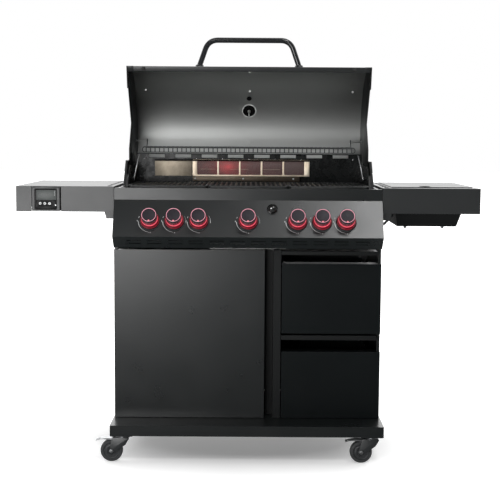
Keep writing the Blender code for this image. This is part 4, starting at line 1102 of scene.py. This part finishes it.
def table_top_details():
    """Finger grip on the side burner lid and the short slots beside the firebox."""
    grip = Shape()
    lid_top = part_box("side_burner_lid")[1].z + 0.0001
    oval = [(x * 0.019, y * 0.03) for x, y in circle(0, 0, 1, 36)]
    grip.plate([oval], 0.0006, Matrix.Translation((0.601, FRONT + 0.083, lid_top)), 0, 0.0002)
    grip.piece("burner_lid_grip", "side_burner_lid", PITCH, 30)
    # painted shade: flat black ovals on the table top stand in for the dark openings of the short slots
    slots = Shape()
    table_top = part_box("right_table")[1].z + 0.0001
    slot = round_rect(-0.006, 0.006, -0.017, 0.017, 0.0058)
    for y in (0.04, 0.11, 0.18):
        slots.plate([slot], 0.0004, Matrix.Translation((0.464, FRONT + y, table_top)), 0, 0.0001)
    slots.piece("table_slots_painted_shade", "frame", PITCH, 30)


def side_burner():
    """Cast burner head with side ports, the pan support over it, and the box's feet."""
    cap = [(0, 870.5), (14, 871.2), (26, 870.5), (34, 868.4), (38.4, 865), (39, 864), (39, 861.2), (37, 860),
           (38.6, 856), (38.6, 842.5), (34, 841.5), (0, 841.5)]
    foot = [(0, 0), (4, 0.2), (5.2, 1.8), (5.2, 6), (3.6, 6.6), (3.6, 11), (0, 11)]
    head = Shape()
    axis = Matrix.Translation(BURNER)
    head.lathe(cap, axis, 48)
    for k in range(36):
        head.block((0.0378, -0.001, 0.847), (0.0396, 0.001, 0.8585), 0.0005, turned(axis, 10 * k), 0, 1)
    head.piece("side_burner_cap", "frame", IRON, 40)
    grate = Shape()
    bar = 0.008
    low, high = 0.8862, 0.894
    x0, x1 = 0.505, 0.721
    y0, y1 = FRONT + 0.132, FRONT + 0.348
    for a, b, c, d in ((x0, y0, x0 + bar, y1), (x1 - bar, y0, x1, y1), (x0, y0, x1, y0 + bar),
                       (x0, y1 - bar, x1, y1)):
        grate.block((a, b, low), (c, d, high), 0.0016)
    for dx, dy in ((1, 0), (-1, 0), (0, 1), (0, -1)):
        a = Vector((BURNER.x + dx * 0.022, BURNER.y + dy * 0.022, 0))
        b = Vector((BURNER.x + dx * 0.104, BURNER.y + dy * 0.104, 0))
        half_x, half_y = 0.003 * abs(dy), 0.003 * abs(dx)
        grate.block((min(a.x, b.x) - half_x, min(a.y, b.y) - half_y, low + 0.0006),
                    (max(a.x, b.x) + half_x, max(a.y, b.y) + half_y, high), 0.0014)
    ob = grate.piece("pan_support", "frame", IRON, 45)
    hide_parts("side_burner_grate")
    feet = Shape()
    for x in (0.5455, 0.6744):
        feet.lathe(foot, Matrix.Translation((x, FRONT + 0.15, 0.7766)), 20)
    feet.piece("burner_box_feet", "frame", ZINC)


def gas_hose():
    """Ribbed hose between its two hexagonal fittings."""
    corners = [(0.496, 0.827), (0.478, 0.798), (0.456, 0.785), (0.4378, 0.7845)]
    line = rounded([(x, FRONT + 0.12, z) for x, z in corners], 0.022, 9)
    shape = Shape()
    shape.tube(line, 0.004, 16)
    for a, b in zip(line, line[1:]):
        count = max(1, int((b - a).length / 0.003))
        for k in range(count):
            p = a.lerp(b, (k + 0.5) / count)
            shape.lathe([(4.1, -0.8), (4.4, 0), (4.1, 0.8)], aim(p, b - a), 12)
    inlet = [(0, -1), (7.2, -1), (7.6, 0), (7.6, 7.5), (7, 8.5), (5.6, 9), (5.6, 15), (4.4, 15.5)]
    outlet = [(0, 0.6), (7, 0.6), (7, 7.6), (5.4, 8.2), (5.4, 13), (4.4, 13.4)]
    shape.lathe(inlet, aim(line[0], line[1] - line[0]), 6, 1)
    shape.lathe(outlet, aim(line[-1], line[-2] - line[-1]), 6, 1)
    ob = shape.piece("hose_assembly", "frame", [HOSE, ZINC], 30)
    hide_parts("gas_hose")


# ---------------------------------------------------------------- casters
def caster_wheel(name, hub):
    """Tyre, dished hub and five ribs on each face."""
    tyre = [(26.2, 10.9), (27.5, 12.3), (33, 12.5), (35.6, 11.3), (37, 8.5), (37.5, 5)]
    dish = [(26.2, 10.9), (25.8, 8.3), (24, 7.7), (22.5, 7.9), (21.6, 10.5), (20, 11.3), (16, 11.1),
            (14, 9.5), (10, 9.1), (9.2, 11.7), (5, 12.3), (5, 0)]
    axis = aim(hub, TO_FRONT)
    wheel = Shape()
    wheel.lathe(tyre + [(r, -h) for r, h in reversed(tyre)], axis, 56, 0)
    for face in (1, -1):
        wheel.lathe([(r, face * h) for r, h in dish], axis, 56, 1)
    for k in range(5):
        turn = turned(axis, 72 * k + 18)
        for face in (1, -1):
            low, high = sorted((face * 0.0091, face * 0.0111))
            wheel.block((0.01, -0.0016, low), (0.0162, 0.0016, high), 0.0005, turn, 1, 1)
    ob = wheel.piece(name + "_tyre_and_hub", name + "_wheel", [TYRE, HUB], 35)
    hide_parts(name + "_wheel")


def caster_fork(name, pivot, hub):
    """Two cheeks around the wheel, the axle's heads, the bridge, the turntable and the king pin."""
    cheek = [(0.022, 0.0835), (0.0245, 0.08), (0.013, 0.06), (-0.0262, 0.03), (-0.03, 0.0268),
             (-0.0352, 0.0252), (-0.0404, 0.0268), (-0.0436, 0.031), (-0.0448, 0.038), (-0.031, 0.0835)]
    axle_head = [(0, 5.2), (3, 5), (4.6, 3.6), (4.8, 2.2), (6.2, 2), (6.4, 0), (0, 0)]
    turntable = [(0, 89.7), (21.5, 89.7), (22.2, 88.8), (22.2, 87), (19, 86.2), (19, 84.8), (22.5, 84.2),
                 (22.5, 83.6), (0, 83.6)]
    king_pin = [(0, 76.5), (5, 77), (7, 78.5), (7.2, 80), (0, 80)]
    sheet = 0.0024
    inner = 0.0155
    outer = 0.0177
    bridge = 0.0836
    fork = Shape()
    for side, sides in ((-1, 20), (1, 6)):
        nearer = inner + sheet if side > 0 else -inner
        fork.plate([cheek], sheet, upright(pivot.y + nearer, -1, pivot.x), 0, 0.0005)
        head = Vector((hub.x, pivot.y + side * (inner + 0.0023), hub.z))
        fork.lathe(axle_head, aim(head, (0, side, 0)), sides, 1)
    fork.block((pivot.x - 0.0312, pivot.y - outer, 0.08), (pivot.x + 0.0225, pivot.y + outer, bridge),
               0.0012)
    fork.lathe(turntable, Matrix.Translation(pivot), 40, 1)
    fork.lathe(king_pin, Matrix.Translation(pivot), 20, 1)
    ob = fork.piece(name + "_bracket", name + "_fork", [FORK, ZINC], 35)
    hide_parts(name + "_fork")


def brake_lever(name, x, y):
    """Bent pedal of a front caster: two side walls, the tread and its ribs."""
    wall = [(-0.042, 0.0772), (-0.026, 0.0806), (-0.0012, 0.0802), (-0.0012, 0.0745)]
    tread = [(-0.026, 0.0788), (-0.044, 0.0752), (-0.057, 0.0716), (-0.057, 0.0738), (-0.044, 0.077),
             (-0.026, 0.0806), (-0.0012, 0.08), (-0.0012, 0.0784)]
    lever = Shape()
    for start, section, end in ((-0.0128, wall, -0.01), (0.01, wall, 0.0128), (-0.0125, tread, 0.0125)):
        lever.bar([(x + along, z) for along, z in section], y + start, y + end)
    for k in range(4):
        rib = x - 0.0545 + k * 0.0032
        low = 0.0737 + k * 0.0012
        lever.block((rib, y - 0.0095, low), (rib + 0.0012, y + 0.0095, low + 0.0015), 0.0005)
    ob = lever.piece(name + "_pedal", name + "_brake", ZINC, 30)
    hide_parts(name + "_brake")


def casters():
    """Four swivel casters; the front two have brake levers."""
    for row, y in CASTER_Y.items():
        for word, side in SIDES:
            name = "caster_%s_%s" % (row, word)
            pivot = Vector((side * CASTER_X, y, 0))
            hub = pivot + WHEEL_SHIFT
            caster_wheel(name, hub)
            caster_fork(name, pivot, hub)
            if row == "front":
                brake_lever(name, hub.x + 0.004, pivot.y)


def plinth_bolts():
    """Four hexagonal bolts around each caster's pivot."""
    head = [(0, 2.1), (2.2, 2), (3, 0.8), (3, -0.2), (0, -0.2)]
    plinth = 0.0901
    shape = Shape()
    for y in CASTER_Y.values():
        for side in (-1, 1):
            for dx in (-0.029, 0.029):
                for dy in (-0.02, 0.02):
                    shape.lathe(head, aim((side * CASTER_X + dx, y + dy, plinth), DOWN, TO_BACK), 6)
    shape.piece("caster_bolts", "frame", ZINC)


# ---------------------------------------------------------------- cabinet
def cabinet_fixings():
    """Screws of the back and sides, and the pressed louvres of the back."""
    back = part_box("cabinet_back")[1].y + 0.0001
    shape = Shape()
    for z in (0.15, 0.33, 0.51, 0.69):
        for side in (-1, 1):
            screw(shape, (side * 0.425, back, z), TO_BACK, 3.8, 1)
            screw(shape, (side * 0.4523, FRONT + 0.08, z), (side, 0, 0), 3.2, 1)
            screw(shape, (side * 0.4523, FRONT + 0.43, z), (side, 0, 0), 3.2, 1)
    for x in (-0.22, 0, 0.22):
        screw(shape, (x, back, 0.146), TO_BACK, 3.8, 1)
        screw(shape, (x, back, 0.69), TO_BACK, 3.8, 1)
    louvre = [(0, 0), (0.0005, 0), (0.003, 0.0046), (0.003, 0.0052), (0, 0.0088)]
    for middle in (-0.3, 0.3):
        for row in range(8):
            z = 0.44 + row * 0.02
            place = Matrix(((0, 1, 0, middle), (1, 0, 0, back), (0, 0, 1, z), (0, 0, 0, 1)))
            shape.bar(louvre, -0.05, 0.05, place)
    shape.piece("cabinet_fixings", "frame", [COAT, ZINC])


def cabinet_strips():
    """Sheet strips inside the back that cover its seams with the sides, the plinth and the rail."""
    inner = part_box("cabinet_back")[0].y - 0.0003
    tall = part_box("cabinet_left_side")[1].z + 0.003
    shape = Shape()
    for x0, x1, z0, z1 in ((-0.4508, -0.4192, 0.1422, tall), (0.4192, 0.4508, 0.1422, tall),
                           (-0.4508, 0.4508, 0.1286, 0.142), (-0.419, -0.1315, 0.706, 0.7345),
                           (0.1315, 0.419, 0.706, 0.7345), (-0.1313, 0.1313, 0.7314, 0.7345)):
        shape.block((x0, inner - 0.001, z0), (x1, inner, z1), 0.0003)
    shape.piece("cabinet_back_strips", "frame", COAT)


def door_details():
    """Liner sheet inside the door and the pads of its two hinges."""
    low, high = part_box("door")
    edge = 0.03
    skin = low.y + 0.0022
    shape = Shape()
    shape.block((low.x + edge, skin, low.z + 0.06), (high.x - edge, low.y + 0.0036, high.z - 0.06), 0.0005)
    for z in (low.z + 0.075, high.z - 0.075):
        shape.block((low.x + 0.0014, low.y + 0.003, z - 0.02), (low.x + edge, low.y + 0.015, z + 0.02),
                    0.001, None, 1)
    shape.piece("door_liner", "door", [COAT, ZINC])


# ---------------------------------------------------------------- studio
def area(name, location, target, width, height, power):
    """Rectangular lamp at location, turned to the target, unseen by the camera."""
    light = bpy.data.lights.new(name, "AREA")
    light.shape = "RECTANGLE"
    light.size = width
    light.size_y = height
    light.energy = power
    light.spread = pi
    ob = in_scene(name, light)
    ob.location = location
    ob.rotation_euler = (Vector(target) - Vector(location)).to_track_quat("-Z", "Y").to_euler()
    ob.visible_camera = False


def lamps():
    area("front_left", (-1.45, -3.99, 0.7), (-0.35, -0.15, 0.75), 2, 1, 62)
    area("upper_right", (1.078, -2.668, 3.945), (0, -0.15, 0.8), 0.85, 0.85, 46)
    area("upper_front", (-0.72, -3.45, 3.25), (0, -0.15, 0.8), 0.85, 0.85, 13)


def surroundings():
    """White to the camera; to the grill, bright behind and above, nearly dark in front and below."""
    world = bpy.data.worlds.new("studio")
    bpy.context.scene.world = world
    world.use_nodes = True
    sky = Nodes(world.node_tree)
    out = sky.add("ShaderNodeOutputWorld")
    camera_ray = sky.add("ShaderNodeLightPath").outputs["Is Camera Ray"]
    direction = sky.add("ShaderNodeTexCoord").outputs["Generated"]
    behind = sky.span(sky.axis(direction, "Y"), -0.25, 0.35, 0.03, 2)
    above = sky.span(sky.axis(direction, "Z"), -0.1, 0.05, 0.05, 1)
    strength = sky.math("ADD", sky.times(behind, above), 0.05)
    mix = sky.add("ShaderNodeMixShader")
    sky.feed(mix.inputs[0], camera_ray)
    for socket, value in ((mix.inputs[1], strength), (mix.inputs[2], 1.0)):
        background = sky.add("ShaderNodeBackground")
        background.inputs[0].default_value = (1, 1, 1, 1)
        sky.feed(background.inputs[1], value)
        sky.feed(socket, background.outputs[0])
    sky.feed(out.inputs[0], mix.outputs[0])


def floor():
    """White floor whose own light grows away from the grill, so that it fades into the background."""
    f = Finish("pale_floor")
    length = f.add("ShaderNodeVectorMath", operation="LENGTH")
    f.feed(length.inputs[0], f.scaled(0.55, 1, 1))
    far = length.outputs["Value"]
    mesh = bpy.data.meshes.new("floor")
    mesh.from_pydata([(-30, -30, 0), (30, -30, 0), (30, 30, 0), (-30, 30, 0)], [], [(0, 1, 2, 3)])
    mesh.materials.append(f.put(
        Base_Color=f.cloudy(f.noise(3), grey(1), 0.88, 0.93), Roughness=f.vary(f.noise(20), 0.7, 0.8),
        Specular_IOR_Level=0.1, Emission_Color=grey(1.0),
        Emission_Strength=f.math("ADD", f.span(far, 0.2, 0.45, 0.16, 0.5), f.span(far, 0.45, 2, 0, 0.4))))
    ob = in_scene("floor", mesh)
    ob.visible_glossy = False


def camera():
    """View that matches the photograph."""
    cam = bpy.data.cameras.new("view")
    cam.lens = 79.22
    cam.sensor_width = 36
    cam.clip_end = 100
    ob = in_scene("view", cam)
    place = Matrix.Translation((0.0068, FRONT - 3.6683, 1.0895))
    tilt = Matrix.Rotation(radians(90 - 5.8905), 4, "X")
    roll = Matrix.Rotation(radians(0.376), 4, "Z")
    ob.matrix_world = place @ tilt @ roll
    bpy.context.scene.camera = ob


for build in (carried_nodes, lid_shell, lid_sides, lid_handle, lid_gauge, lid_fixings, warming_rack,
              rack_legs, cooking_grates, rear_burner, wall_details, knobs, panel_print, ignition,
              panel_screws, display, table_details, table_top_details, side_burner, gas_hose, casters,
              plinth_bolts, cabinet_fixings, cabinet_strips, door_details, lamps, surroundings, floor,
              camera):
    build()
bpy.context.scene.view_settings.view_transform = "Standard"
